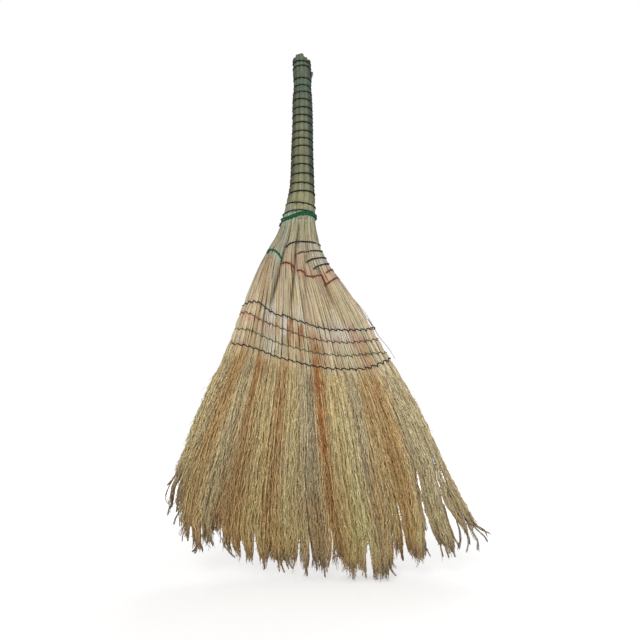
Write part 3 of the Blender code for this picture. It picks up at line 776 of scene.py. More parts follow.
def mark(points, colours, marks, chance, shade=1.0):
    """Blend the marks into the colours of strands."""
    flat = points.copy()
    flat[..., 1] = AXIS_Y + MARKS_DEPTH
    px, py, _ = seen_at(flat)
    for colour, strength, half, pixels in marks:
        amount = strength * bell(near_line(px, py, pixels), half)
        amount = amount * chance.uniform(*MARK_BY_STRAND, (len(points), 1))
        amount = amount * chance.uniform(*MARK_BY_STEP, amount.shape)
        colours = between(colours, colour * shade, amount.clip(0, 1)[..., None])
    return colours


# Stains beside the twines, on the front alone; the last mark is painted shadow down the cleft of a groove.
TWINE_STAINS = (
    (RED_STAIN, 0.55, 3.6, (
        (282, 263), (292.6, 265), (294.7, 269.5), (304.3, 272), (313.4, 276.5), (322.2, 275.4),
    )),
    (RED_STAIN, 0.45, 4.5, ((296, 254), (297, 268), (304, 272))),
    (RED_STAIN, 0.60, 4.0, ((322, 276), (330, 270.2), (334, 269.4))),
    (RED_STAIN, 0.60, 4.5, ((324, 280), (325.5, 285), (334.8, 278.2), (339, 277.6))),
    (RED_STAIN, 0.40, 3.5, ((236, 314), (252, 318), (262, 324), (270, 330))),
    (SLATE_STAIN, 0.40, 3.0, ((285.7, 246.5), (289.6, 243.7), (300.8, 241.4), (319.1, 244.2))),
    (SLATE_STAIN, 0.35, 3.0, ((295.9, 254.2), (306.4, 251.4), (321.7, 251.1))),
    (SLATE_STAIN, 0.35, 3.0, ((306.9, 261.8), (315.6, 258.5), (326, 258.2))),
    (SLATE_STAIN, 0.35, 3.0, ((313.8, 268.7), (322.2, 264.6), (328.5, 263.6))),
    (MINT_STAIN, 0.75, 3.0, ((286, 215), (299, 212), (313, 213))),
    (MINT_STAIN, 0.45, 3.0, ((282, 222), (299, 217), (314, 218))),
    (MINT_STAIN, 0.60, 3.0, ((267.4, 252.6), (273, 249.6), (281.2, 259.3))),
    (DEEP_BROWN, 1.00, 1.5, ((284.8, 248.5), (286.2, 246.0))),
    (DEEP_BROWN, 0.90, 1.1, ((295.4, 255.5), (296.2, 253.6))),
    # Painted shadow down the cleft of the groove between bunches.
    (DEEP_BROWN, 0.80, 1.0, ((297.0, 239), (296.2, 252))),
)
# Marks on the brush, which keeps the rust marks too, in its own rust.
BRUSH_MARKS = (
    *((BRUSH_RUST, *looks) for colour, *looks in MARKS if colour is RUST),
    (PALE_OLIVE, 0.80, 6.0, ((228, 350), (219, 374), (208, 405), (201, 428))),
    (BRUSH_ORANGE, 0.70, 5.5, ((243, 352), (234, 376), (222, 405), (211, 432), (203, 458))),
    (BRUSH_GREEN, 0.70, 4.5, ((246, 378), (234, 412), (222, 444), (206, 484), (196, 512))),
    (BRUSH_GREEN, 0.60, 4.0, ((265, 376), (259, 410), (254, 440))),
    (PALE_BRUSH, 1.00, 2.4, ((275, 370), (270.5, 404), (267, 436))),
    (BRUSH_GOLD, 0.80, 5.0, ((266, 430), (261, 478), (246, 518))),
    (BRUSH_BROWN, 0.70, 4.2, ((282, 372), (280, 405), (277, 438), (273, 480), (266, 516))),
    (PALE_BRUSH, 1.15, 5.0, ((295, 368), (294.5, 400), (293, 436), (289, 480), (284, 522))),
    (BRUSH_GREY, 1.00, 4.6, ((307, 368), (306, 400), (308, 430))),
    (BRUSH_GREY, 0.75, 6.0, ((309, 430), (310, 484))),
    (BRUSH_BROWN, 0.45, 7.0, ((314, 500), (318, 545))),
    (BRUSH_RUST, 0.35, 5.0, ((228, 486), (216, 520))),
    (PALE_OLIVE, 0.90, 2.8, ((326, 372), (330, 402), (333, 442), (338, 480))),
    (BRUSH_TAN, 0.50, 2.6, ((331, 380), (337, 410))),
    (PALE_BRUSH, 0.95, 4.0, ((340, 370), (346, 404), (351, 438), (353, 472))),
    (BRUSH_GREY, 0.90, 4.0, ((352, 372), (357, 404), (362, 436), (368, 474))),
    (BRUSH_BROWN, 0.50, 4.2, ((362, 374), (369, 404), (374, 438))),
    (PALE_BRUSH, 0.70, 1.4, ((368, 370), (374, 402), (379, 442))),
    (BRUSH_ORANGE, 0.85, 5.2, ((374, 362), (380, 380), (388, 404), (395, 436), (401, 470), (409, 504))),
    (BRUSH_ORANGE, 0.60, 4.0, ((370, 452), (376, 486), (381, 520))),
    (PALE_OLIVE, 0.70, 6.0, ((395, 372), (405, 400), (416, 430))),
    (BRUSH_BROWN, 0.45, 5.0, ((236, 462), (240, 492), (222, 524))),
)


# Stems of the fan, from inside the neck down into the brush.
STEM_TOP = 0.545
STEM_FOOT = 0.215
STEM_FOOT_SPREAD = 0.075
# Grooves between the shoulder's bunches: strength, and the pixels of the picture they run through.
GROOVE_PIXELS = (
    (1.0, ((289.5, 228), (286.5, 242), (281.5, 258), (278.4, 274), (274.4, 289), (270.0, 304))),
    (0.9, ((299.0, 228), (297.7, 238.3), (295.5, 255.3), (294.5, 267.3), (293.2, 278.7), (290.5, 304))),
    (0.45, ((306.5, 250), (305.2, 262), (304.9, 272.7), (304.2, 304))),
    (0.8, ((319.5, 271), (322.0, 275.4), (325.3, 283.4), (328.5, 293), (333.0, 304))),
    (0.35, ((284.0, 228), (270.0, 252), (262.0, 270), (252.0, 296))),
    (0.40, ((312.5, 228), (326.0, 252), (338.0, 275), (352.0, 300))),
)
# Widths of a stem at the neck and at the rows, and the heights between which it changes.
NECK_STEM = 0.0052
ROW_STEM = 0.0027
STEM_WIDEN = (0.38, 0.53)
# Layers of stems from the outside in: count, depth, steps, sides and shade, painted shade on deeper layers.
STEM_LAYERS = ((236, 0.0000, 90, 7, 1.0), (200, 0.0018, 44, 5, 0.92), (160, 0.0042, 30, 5, 0.85))
STEM_JITTER = 0.3
STEM_TOP_SPREAD = 0.012
STEM_GIRTHS = (0.84, 1.20)
STEM_SWAY = 0.35
STEM_SWAY_LENGTH = 0.03
STEM_STRAY = 0.0007
# Stems that find no room at the neck are buried.
BURIED_OVER = 0.16
BURIED_DEPTH = 0.006
# Below the lowest row the stems thin out and sink into the brush.
FINE_SHARE = 0.25
FINE_BELOW = 0.055
SINK_DEPTH = 0.0020
SINK_BELOW = (0.004, 0.040)
# Stitches pinch the stems and draw them together in groups.
GROUPS_ROUND = 50
PINCH_WIDTH = 0.0045
PINCH_THINS = 0.12
PINCH_GATHERS = 0.17
GROUP_RELIEF = 0.0010
ROW_RELIEF = 0.0015
ROWS_FROM = (0.25, 0.29)
ROWS_TO = (0.39, 0.42)
WRAP_RELIEF = 0.0006
WRAP_RELIEF_WIDTH = 0.004
WRAPS_FROM_ACROSS = 0.3
# Grooves: where they begin and fade, how they end, and their width; then depth of the wide rounding,
# depth of the cleft and its width, for the relief and for the shadow.
GROOVES_FROM = (0.35, 0.42)
GROOVES_TO = (0.505, 0.53)
GROOVE_END = 0.012
GROOVE_WIDTH = 0.034
RELIEF_GROOVE = (0.0034, 0.0040, 0.014)
SHADOW_GROOVE = (0.12, 0.80, 0.018)
# Colours of the stems: shares of a stem's own colour and its group's, and tints from height to height.
OWN_SHARE = 0.6
GROUP_SHARE = 0.4
DULL_HEIGHTS = (0.385, 0.45)
DULL_TINT = np.array((0.84, 0.85, 0.88))
NECK_HEIGHTS = (0.43, 0.53)
NECK_TINT = np.array((0.70, 0.80, 0.75))
RIM_HEIGHTS = (0.40, 0.47)
RIM_TINT = np.array((0.62, 0.66, 0.62))
RIM_POWER = 8
SHADOW_BROWN = DEEP_BROWN * 0.8
STEMS_TO_BRUSH = (-0.002, 0.030)
STEMS_TO_BRUSH_SHARE = 0.9
STEMS_BAND_SHADE = 0.72
STEMS_MARK_SHADE = 0.8
PALEST_STEM = 0.95


def bit_order(count):
    """Ranks that fill a row evenly: every other place, then every other of what is left."""
    bits = max(1, (count - 1).bit_length())
    flipped = np.array([int(format(i, f"0{bits}b")[::-1], 2) for i in range(count)])
    ranks = np.empty(count, int)
    ranks[np.argsort(flipped)] = np.arange(count)
    return ranks


def row_pinch(across, height):
    """1 on a row of stitching, 0 away from the rows."""
    amount = np.zeros(np.broadcast(across, height).shape)
    for row in range(ROW_COUNT):
        amount = np.maximum(amount, bell(height - row_height(row, across), PINCH_WIDTH))
    return amount


def spot_at(px, py):
    """(height, share across) of the fan's front at a pixel."""
    place = seen_at_depth(px, py, AXIS_Y + MARKS_DEPTH)
    return float(place[2]), float(across_of(place[0], place[2]))


# The grooves as tables of (height, share across), lowest first, each with its strength.
GROOVES = [(strength, [spot_at(*pixel) for pixel in pixels[::-1]]) for strength, pixels in GROOVE_PIXELS]


def groove_depth(across, height, wide, cleft, cleft_width):
    """Depth of the grooves: a wide rounding of the bunches and a narrow cleft between them."""
    shoulder = ease(*GROOVES_FROM, height) * (1 - ease(*GROOVES_TO, height))
    amount = np.zeros(np.broadcast(across, height).shape)
    for strength, rows in GROOVES:
        away = across - read_line(rows, height)
        level = strength * (1 - ease(0.0, GROOVE_END, height - rows[-1][0]))
        depth = wide * bell(away, GROOVE_WIDTH) + cleft * bell(away, cleft_width)
        amount = np.maximum(amount, level * depth)
    return amount * shoulder


def surface_relief(share, across, height):
    """How far the stems lie under the plain outline: bunches at the shoulder, rows and their groups."""
    inset = groove_depth(across, height, *RELIEF_GROOVE)
    rows = ease(*ROWS_FROM, height) * (1 - ease(*ROWS_TO, height))
    turn = share * GROUPS_ROUND % 1.0 * 2 - 1
    inset += GROUP_RELIEF * turn ** 2 * rows
    inset += ROW_RELIEF * row_pinch(across, height)
    for wrap in WRAP_HEIGHTS:
        inset += WRAP_RELIEF * bell(height - wrap, WRAP_RELIEF_WIDTH) * (across > WRAPS_FROM_ACROSS)
    return inset


def stem_layer(chance, count, inset, steps, sides, shade):
    """One layer of stems round the fan: paths, radii, sides, colours and shares across."""
    group_chance = np.random.default_rng(SEED + 5)
    shares = (np.arange(count) + chance.uniform(-STEM_JITTER, STEM_JITTER, count)) / count
    ranks = bit_order(count) / count
    tops = chance.uniform(STEM_TOP - STEM_TOP_SPREAD, STEM_TOP, count)
    feet = chance.uniform(STEM_FOOT, STEM_FOOT + STEM_FOOT_SPREAD, count)
    places = np.linspace(0, 1, steps)[None, :]
    heights = between(tops[:, None], feet[:, None], places)
    pitch = between(ROW_STEM, NECK_STEM, ease(*STEM_WIDEN, heights))
    free = outline.girth_at(heights) / pitch / count
    buried = ease(0.0, BURIED_OVER, ranks[:, None] - free) * BURIED_DEPTH
    sway = chance.uniform(0, 2 * math.pi, (count, 1))
    share = shares[:, None] + STEM_SWAY / count * np.sin(heights / STEM_SWAY_LENGTH + sway)
    x = outline.read(share, heights)[..., 0]
    across = across_of(x, heights)
    pinch = row_pinch(across, heights)
    centre = (np.floor(share * GROUPS_ROUND) + 0.5) / GROUPS_ROUND
    share = centre + (share - centre) * (1 - PINCH_GATHERS * pinch)
    radii = pitch * 0.5 * chance.uniform(*STEM_GIRTHS, (count, 1))
    below = row_height(ROW_COUNT - 1, across) - heights
    radii *= between(1.0, FINE_SHARE, ease(0.0, FINE_BELOW, below))
    radii *= 1 - PINCH_THINS * pinch
    depth = inset + buried + radii + surface_relief(share, across, heights)
    depth += chance.uniform(0.0, STEM_STRAY, (count, 1)) + SINK_DEPTH * ease(*SINK_BELOW, below)
    paths = outline.place(share, heights, depth)

    groups = pick(group_chance, GROUPS_ROUND, (
        (STRAW, 5), (CREAM, 3), (TAN, 2), (GREEN_STRAW, 1.2), (GREY_STRAW, 0.7), (PINK_STRAW, 1.5),
    ))
    own = pick(chance, count, (
        (STRAW, 5), (CREAM, 3), (TAN, 2), (GREEN_STRAW, 1.2), (GREY_STRAW, 0.7), (PINK_STRAW, 1.4),
        (BROWN, 0.5),
    ))
    group = (shares % 1.0 * GROUPS_ROUND).astype(int) % GROUPS_ROUND
    base = OWN_SHARE * own + GROUP_SHARE * groups[group]
    # Painted shade: the deeper layers are darker, as shade in the gaps between the outer stems.
    colours = np.repeat(base[:, None, :], steps, axis=1) * shade
    rim = np.abs(across * 2 - 1) ** RIM_POWER * ease(*RIM_HEIGHTS, heights)
    for tint, amount in (
        (DULL_TINT, ease(*DULL_HEIGHTS, heights)),
        (NECK_TINT, ease(*NECK_HEIGHTS, heights)),
        (RIM_TINT, rim.clip(0, 1)),
    ):
        colours = between(colours, colours * tint, amount[..., None])
    colours = mark(paths, colours, MARKS, chance, shade)
    near = mark(paths, colours, TWINE_STAINS, chance, shade)
    colours = np.where((paths[..., 1] < AXIS_Y)[..., None], near, colours)
    shadow = groove_depth(across, heights, *SHADOW_GROOVE).clip(0, 1)
    colours = between(colours, SHADOW_BROWN, shadow[..., None])
    brush = ease(*STEMS_TO_BRUSH, below)[..., None]
    banded = mark(paths, band_colours(across) * STEMS_BAND_SHADE, BRUSH_MARKS, chance, STEMS_MARK_SHADE)
    colours = between(colours, banded, STEMS_TO_BRUSH_SHARE * brush).clip(0, PALEST_STEM)
    return paths, radii, sides, colours, across_of(paths[:, steps // 2, 0], heights[:, steps // 2])


def add_stems():
    chance = np.random.default_rng(SEED)
    layers = [stem_layer(chance, *layer) for layer in STEM_LAYERS]
    for bunch in range(len(BUNCH_EDGES) - 1):
        parts = []
        for paths, radii, sides, colours, across in layers:
            own = bunch_of(across) == bunch
            parts.append(tubes(paths[own], radii[own], sides, colours[own], chance))
        name = f"stems_{bunch + 1}"
        add_piece(name, make_mesh(name, *join_arrays(parts)), stem_straw, [f"bunch_{bunch + 1}"])


# Brush below the rows: clumps of crimped fibres with side branches and husks, and bare strands.
# The line of the tips in the picture, left to right.
TIP_PIXELS = (
    (150, 470), (170, 474), (174, 479), (176.5, 492), (178, 512), (180.5, 526), (184, 535),
    (187.5, 541), (190, 535), (194.5, 552), (198, 549), (203, 541), (208.8, 547.5), (210.5, 538),
    (212, 534), (216, 534), (220, 532), (222.5, 540), (225, 549), (230, 555), (234.5, 557), (236, 552),
    (239, 559), (242, 553), (246, 563), (251, 562), (254, 554), (258, 556), (261, 562), (264.4, 568),
    (268, 560), (271, 562.5), (277.5, 562.5), (279.4, 570), (282, 565), (284.4, 571), (287, 566),
    (293, 567), (298, 562), (301, 562), (304, 570), (306.5, 574.5), (309, 564), (312, 563), (316, 570),
    (320, 569), (325, 575), (328, 570), (331, 564), (334, 573), (338, 562), (342, 562), (344, 572),
    (348, 571), (353, 577.5), (356, 572), (363, 572), (366, 576), (372, 572), (377.5, 580), (382, 578),
    (386, 577), (391, 571), (395, 560), (398, 552), (402.5, 560), (405, 555), (411, 551), (415, 558),
    (420, 562), (424, 563), (430, 545), (436, 544), (441, 546), (447.5, 551), (451, 557), (454, 554),
    (457, 547), (461, 530), (465, 534), (468, 538), (472, 532), (476, 527), (482, 528), (492, 532),
)
# White slits between the locks, left to right: pixels they run down through, and half width there.
SLITS = (
    ((190.6, 523, 0.2), (191, 530, 1.6), (191, 541, 2.4)),
    ((201, 521, 0.2), (201.5, 530, 0.8), (202, 540, 1.0)),
    ((221, 525, 0.2), (221.8, 532, 1.2), (222, 537, 1.5)),
    ((230, 538, 0.3), (232, 546, 1.6), (235, 553, 2.2)),
    ((240.6, 538, 0.3), (242, 545, 1.8), (244.5, 554, 2.8)),
    ((254.6, 531, 0.3), (255, 542, 1.6), (255.8, 552, 2.8), (256, 562, 3.2)),
    ((268.5, 556, 0.3), (268.8, 564, 1.6)),
    ((299.4, 534, 0.2), (299, 543, 0.9), (298.8, 555, 1.2), (298.8, 564, 2.6)),
    ((309.6, 538, 0.2), (310, 547, 1.1), (311, 557, 1.5), (310.2, 564, 1.8)),
    ((331, 526, 0.2), (331.5, 532, 0.6), (332.5, 542, 0.7), (332, 555, 0.8), (331, 565, 1.8)),
    ((340, 558, 0.3), (340, 567, 2.2)),
    ((367.5, 539, 0.2), (368.6, 547, 1.9), (368.5, 557, 3.3), (370, 568, 3.8)),
    ((391.9, 515, 0.1), (392.5, 530, 0.5), (393.8, 542, 0.8), (396.5, 551, 1.3), (397.2, 558, 2.2)),
    (
        (396, 499, 0.1), (398.8, 508.8, 1.0), (400.6, 517.5, 1.2), (401.2, 522.5, 0.4),
        (402.3, 527.5, 0.7), (404.4, 535, 1.2), (406.3, 542.5, 1.9), (408, 550, 3.0),
        (410.5, 558, 5.0),
    ),
    (
        (416.3, 467, 0.1), (417.6, 476, 1.1), (419.4, 485, 1.6), (421.4, 492, 0.7), (421.6, 496, 0.4),
        (422.5, 503, 1.1), (424.3, 512, 1.4), (427.5, 520, 1.8), (429, 530, 4.2), (431, 540, 7.5),
        (434, 550, 10),
    ),
    (
        (424.5, 438, 0.1), (427.5, 446, 0.9), (430, 451, 0.4), (431.9, 456, 0.9), (434.5, 462, 1.2),
        (436.2, 468, 0.5), (436.6, 478, 0.8), (438.8, 484, 1.0), (440.8, 490, 0.5), (441.6, 496, 0.6),
        (443.8, 504, 1.3), (448, 512, 3.0), (451.4, 519, 4.2), (455.5, 526, 6.0), (459, 534, 6.5),
        (461, 545, 6.5),
    ),
    (
        (439.5, 465, 0.1), (441.2, 472, 1.1), (444, 479, 0.8), (447, 486, 0.1), (456, 504, 0.0),
        (468, 530, 0.0),
    ),
)
# The brush's left and right edges in the picture.
SEEN_LEFT = (
    (222, 360), (218, 368), (209.5, 384), (203, 400), (196, 416), (190, 432), (184.5, 448), (177.5, 464),
    (171, 480), (165, 496),
)
SEEN_RIGHT = (
    (392, 360), (396.5, 368), (406, 384), (415, 400), (423, 416), (430.5, 432), (437.5, 448), (445, 464),
    (453.5, 480), (462.5, 496), (470.5, 512), (478.5, 527),
)
# How many pixels inside its edges the outermost strands run.
EDGE_INSET = 1.0
# Clumps of fibres, and how they stray: jitter in depth, tips, curl, drift and spread. A stray pair is
# the greatest length and the power that makes long ones rare.
CLUMPS_ACROSS = 150
CLUMPS_DEEP = 5
CLUMP_DEEP_JITTER = 0.08
CLUMP_DEEPEST = 0.92
CLUMP_TIP_STRAY = (0.010, 1.8)
CLUMP_CURL_X = (0.0006, 0.0030)
CLUMP_CURL_Y = 0.0020
CLUMP_DRIFT = 0.0016
CURL_REACH = 0.032
CURL_LIMIT = 1.3
DRIFT_HEIGHTS = (0.22, 0.04)
SPREAD = (1.5, 1.9)
SPREAD_HEIGHTS = (0.30, 0.12)
GATHER_SHARE = 0.30
GATHER_OVER_TIP = (-0.004, 0.022)
# Fibres of a clump.
FIBRES_IN_CLUMP = 7
FIBRE_STEPS = 46
FIBRE_SIDES = 3
FIBRE_START_SPREAD = 1.6
FIBRE_TOP_RANGE = (-0.022, 0.004)
FIBRE_TIP_STRAY = (0.030, 3)
STRAY_SHARE = 0.16
STRAY_LENGTHS = (0.001, 0.007)
STRAY_LOOSER = 0.8
FIBRE_DEEP_SPREAD = 0.7
# How near the fan's front, back and sides they come, and how deep they start under the rows.
DEEPEST = 1.03
RIM = 0.97
SIDE_SPARE = 0.993
SUNK_SHARE = 0.86
SUNK_BELOW = 0.035
BRUSH_HALF_DEPTH = 0.0285
LAST_SHARE = 0.9999
# Their thickness from top to tip, with knobbles on the way.
FIBRE_TOP_RADIUS = 0.00072
FIBRE_TIP_RADIUS = 0.00029
FIBRE_TAPER = 1.5
FIBRE_GIRTHS = (0.75, 1.25)
KNOBBLE = 0.30
KNOBBLE_RANGE = (-1, 1.4)
# Crimp: looseness at the top and at the tips, waves (size, length), and the heights they grow over.
LOOSE_HEIGHTS = (0.34, 0.26)
LOOSENESS = (0.00060, 0.00095)
LOOSER_HEIGHTS = (0.25, 0.02)
CLUMP_WAVE = (0.0005, 0.011)
FIBRE_WAVE = (0.0007, 0.0045)
WAVE_HEIGHTS = (0.33, 0.24)
WANDER_LIMIT = 2
SLOW_WANDER = 0.15
# Colours: shares of the bands and of a fibre's own, streaks across, darker near the rows and the tips.
CLUMP_BAND_SHARE = 0.78
CLUMP_OWN_SHARE = 0.22
FIBRE_OWN_SHARE = 0.16
FIBRE_SHADE = (0.92, 1.08)
STEP_SHADE = (0.72, 1.22)
STREAKS_ACROSS = 64
STREAK_RANGE = (0.87, 1.10)
# Painted light: the fibres are made lighter and a little warmer towards the bottom.
LOW_HEIGHTS = (0.17, 0.03)
LOW_PAINTED_LIGHT = np.array((1.14, 1.08, 1.00))
ROWS_HEIGHTS = (0.22, 0.29)
ROWS_TINT = np.array((0.84, 0.84, 0.84))
DRY_OVER_TIP = (0.030, -0.002)
DRY_TINT = np.array((0.50, 0.47, 0.50))
# Side branches.
BRANCHES_PER_FIBRE = 6
BRANCH_STEPS = 4
BRANCH_FROM = 5
BRANCH_AHEAD = 3
BRANCH_LENGTHS = (0.005, 0.016)
BRANCH_LEANS = (0.10, 0.50)
BRANCH_FLATNESS = 0.8
BRANCH_WIGGLE = 0.0007
BRANCH_TAPER = (0.75, 0.35)
BRANCH_OWN_SHARE = 0.22
BRANCH_SHADE = (0.74, 1.24)
# Seed husks.
HUSKS_PER_FIBRE = 9
HUSK_FROM = 3
HUSK_AWAY = (0.9, 0.7)
HUSK_DOWN = (0.3, 1.0)
HUSK_LENGTHS = (0.0016, 0.0030)
HUSK_PLACES = np.array((0.0, 0.5, 1.0))
HUSK_RADIUS = 0.00074
HUSK_GIRTHS = (0.7, 1.2)
HUSK_PROFILE = np.array((0.5, 1.0, 0.3))
HUSK_WARMTH = (0.80, 0.22)
HUSK_OWN_SHARE = 0.50
HUSK_SHADE = (0.68, 1.20)
# Bare strands over the brush.
PALE_STRANDS = 130
PALE_STEPS = 24
PALE_SIDES = 5
PALE_SHARES = (0.01, 0.99)
PALE_DROP = 0.002
PALE_FEET = (0.09, 0.27)
PALE_RADII = (0.00075, 0.00035)
PALE_GIRTHS = (0.8, 1.25)
PALE_WAVE = (0.004, 0.021)
PALE_SUNK = 0.80
PALE_SUNK_BELOW = 0.06
PALE_LIFT = 0.02
PALE_BAND_SHARE = 0.45
PALE_SHADE = (0.8, 1.0)
# Slits: from how far above its start a slit acts on the edges' drift and on its sides, how ragged its
# sides are, and how far the strands beside it give way.
DRIFT_EASE = (4, 10)
SLIT_EASE = 8
SLIT_LEAD = 2
SLIT_RIM = (0.75, 1.0)
SLIT_STRAY = (0.9, 5)
SLIT_GIVE = (2.5, 1.6)
# The tips are looked for below this height, at so many levels.
TIP_SEARCH_TOP = 0.16
TIP_SEARCH_STEPS = 161
# Colour bands of the brush by share across the fan.
BRUSH_BANDS = (
    (0.00, PALE_GREEN), (0.07, BRUSH_TAN), (0.11, BRUSH_ORANGE), (0.16, BRUSH_GREY), (0.24, BRUSH_ORANGE),
    (0.29, BRUSH_TAN), (0.31, BRUSH_CREAM), (0.36, BRUSH_ORANGE), (0.40, BRUSH_CREAM), (0.44, BRUSH_CREAM),
    (0.47, BRUSH_GREY), (0.52, BRUSH_GREY), (0.55, BRUSH_ORANGE), (0.59, BRUSH_GOLD), (0.65, BRUSH_CREAM),
    (0.70, BRUSH_GREY), (0.75, BRUSH_TAN), (0.79, BRUSH_ORANGE), (0.84, BRUSH_TAN), (0.89, BRUSH_ASH),
    (1.00, BRUSH_ASH),
)


def in_fan(sideways, deep, height):
    """Points of the fan by shares from its middle, -1 to 1 sideways and in depth."""
    left, right = fan_sides(height)
    power = fan_power(height)
    rim = np.minimum(np.abs(sideways), RIM)
    x = (left + right) / 2 + (right - left) / 2 * sideways
    y = AXIS_Y + fan_depth(height) * deep * (1 - rim ** power) ** (1 / power)
    return x, y


SLIT_SHARES = [spot_at(*slit[0][:2])[1] for slit in SLITS]


def lock_drift(points, shares):
    """How far, in the picture, the strands bend to follow the edges and slits on both sides of them."""
    px, py, far = seen_at(points)
    left, right = fan_sides(points[..., 2])
    places = [0.0, *SLIT_SHARES, 1.0]
    guides = [[row[:2] for row in slit] for slit in SLITS]
    guides.insert(0, [(x + EDGE_INSET, y) for x, y in SEEN_LEFT])
    guides.append([(x - EDGE_INSET, y) for x, y in SEEN_RIGHT])
    drifts = []
    for place, guide in zip(places, guides):
        xs, ys = zip(*guide)
        straight = PICTURE / 2 + FOCAL * (between(left, right, place) - CAMERA_PLACE[0]) / far
        follow = ease(ys[0] - DRIFT_EASE[0], ys[0] + DRIFT_EASE[1], py)
        drifts.append((np.interp(py, ys, xs) - straight) * follow)
    drift = np.zeros(px.shape)
    for low, high, start, end in zip(places, places[1:], drifts, drifts[1:]):
        inside = ((shares >= low) & (shares < high))[:, None]
        drift = np.where(inside, between(start, end, ((shares - low) / (high - low))[:, None]), drift)
    return drift


def open_slits(points, shares, chance, whole=True):
    """Part the strands where the locks stand apart; every strand stays on one side of a slit."""
    px, py, far = seen_at(points)
    shift = lock_drift(points, shares) if whole else np.zeros(px.shape)
    for place, slit in zip(SLIT_SHARES, SLITS):
        xs, ys, halves = zip(*slit)
        rim = chance.uniform(*SLIT_RIM, (len(points), 1))
        stray = SLIT_STRAY[0] * chance.random((len(points), 1)) ** SLIT_STRAY[1]
        side = np.where(shares < place, -1.0, 1.0)[:, None]
        half = np.interp(py, ys, halves) * ease(ys[0] - SLIT_EASE, ys[0], py)
        away = (px + shift - np.interp(py, ys, xs)) * side
        give = np.exp(-np.maximum(away, 0) / (SLIT_GIVE[0] + SLIT_GIVE[1] * half))
        pushed = away + whole * half * give
        kept = np.where(py > ys[0] - SLIT_LEAD, np.maximum(pushed, half * rim + stray), pushed)
        shift += side * (kept - away)
    points[..., 0] += shift * far / FOCAL


def tip_heights(shares):
    """Height of the tips over the floor for strands at shares across the fan, read off the picture."""
    heights = np.linspace(TIP_SEARCH_TOP, 0.0, TIP_SEARCH_STEPS)[None, :]
    left, right = fan_sides(heights)
    x = between(left, right, shares[:, None])
    points = np.stack(np.broadcast_arrays(x, AXIS_Y + MARKS_DEPTH, heights), axis=-1).copy()
    open_slits(points, shares, np.random.default_rng(SEED))
    px, py, _ = seen_at(points)
    over = py < read_line(TIP_PIXELS, px)
    over[:, -1] = False
    return heights[0, np.argmin(over, axis=1)]


def band_colours(across):
    """Colours of the brush's bands at shares across the fan."""
    places, colours = zip(*BRUSH_BANDS)
    return np.stack([np.interp(across, places, channel) for channel in zip(*colours)], axis=-1)


def held_in(points):
    """Keep points within the brush's depth and over the floor."""
    points[..., 1] = points[..., 1].clip(AXIS_Y - BRUSH_HALF_DEPTH, AXIS_Y + BRUSH_HALF_DEPTH)
    points[..., 2] = np.maximum(points[..., 2], FLOOR_GAP)


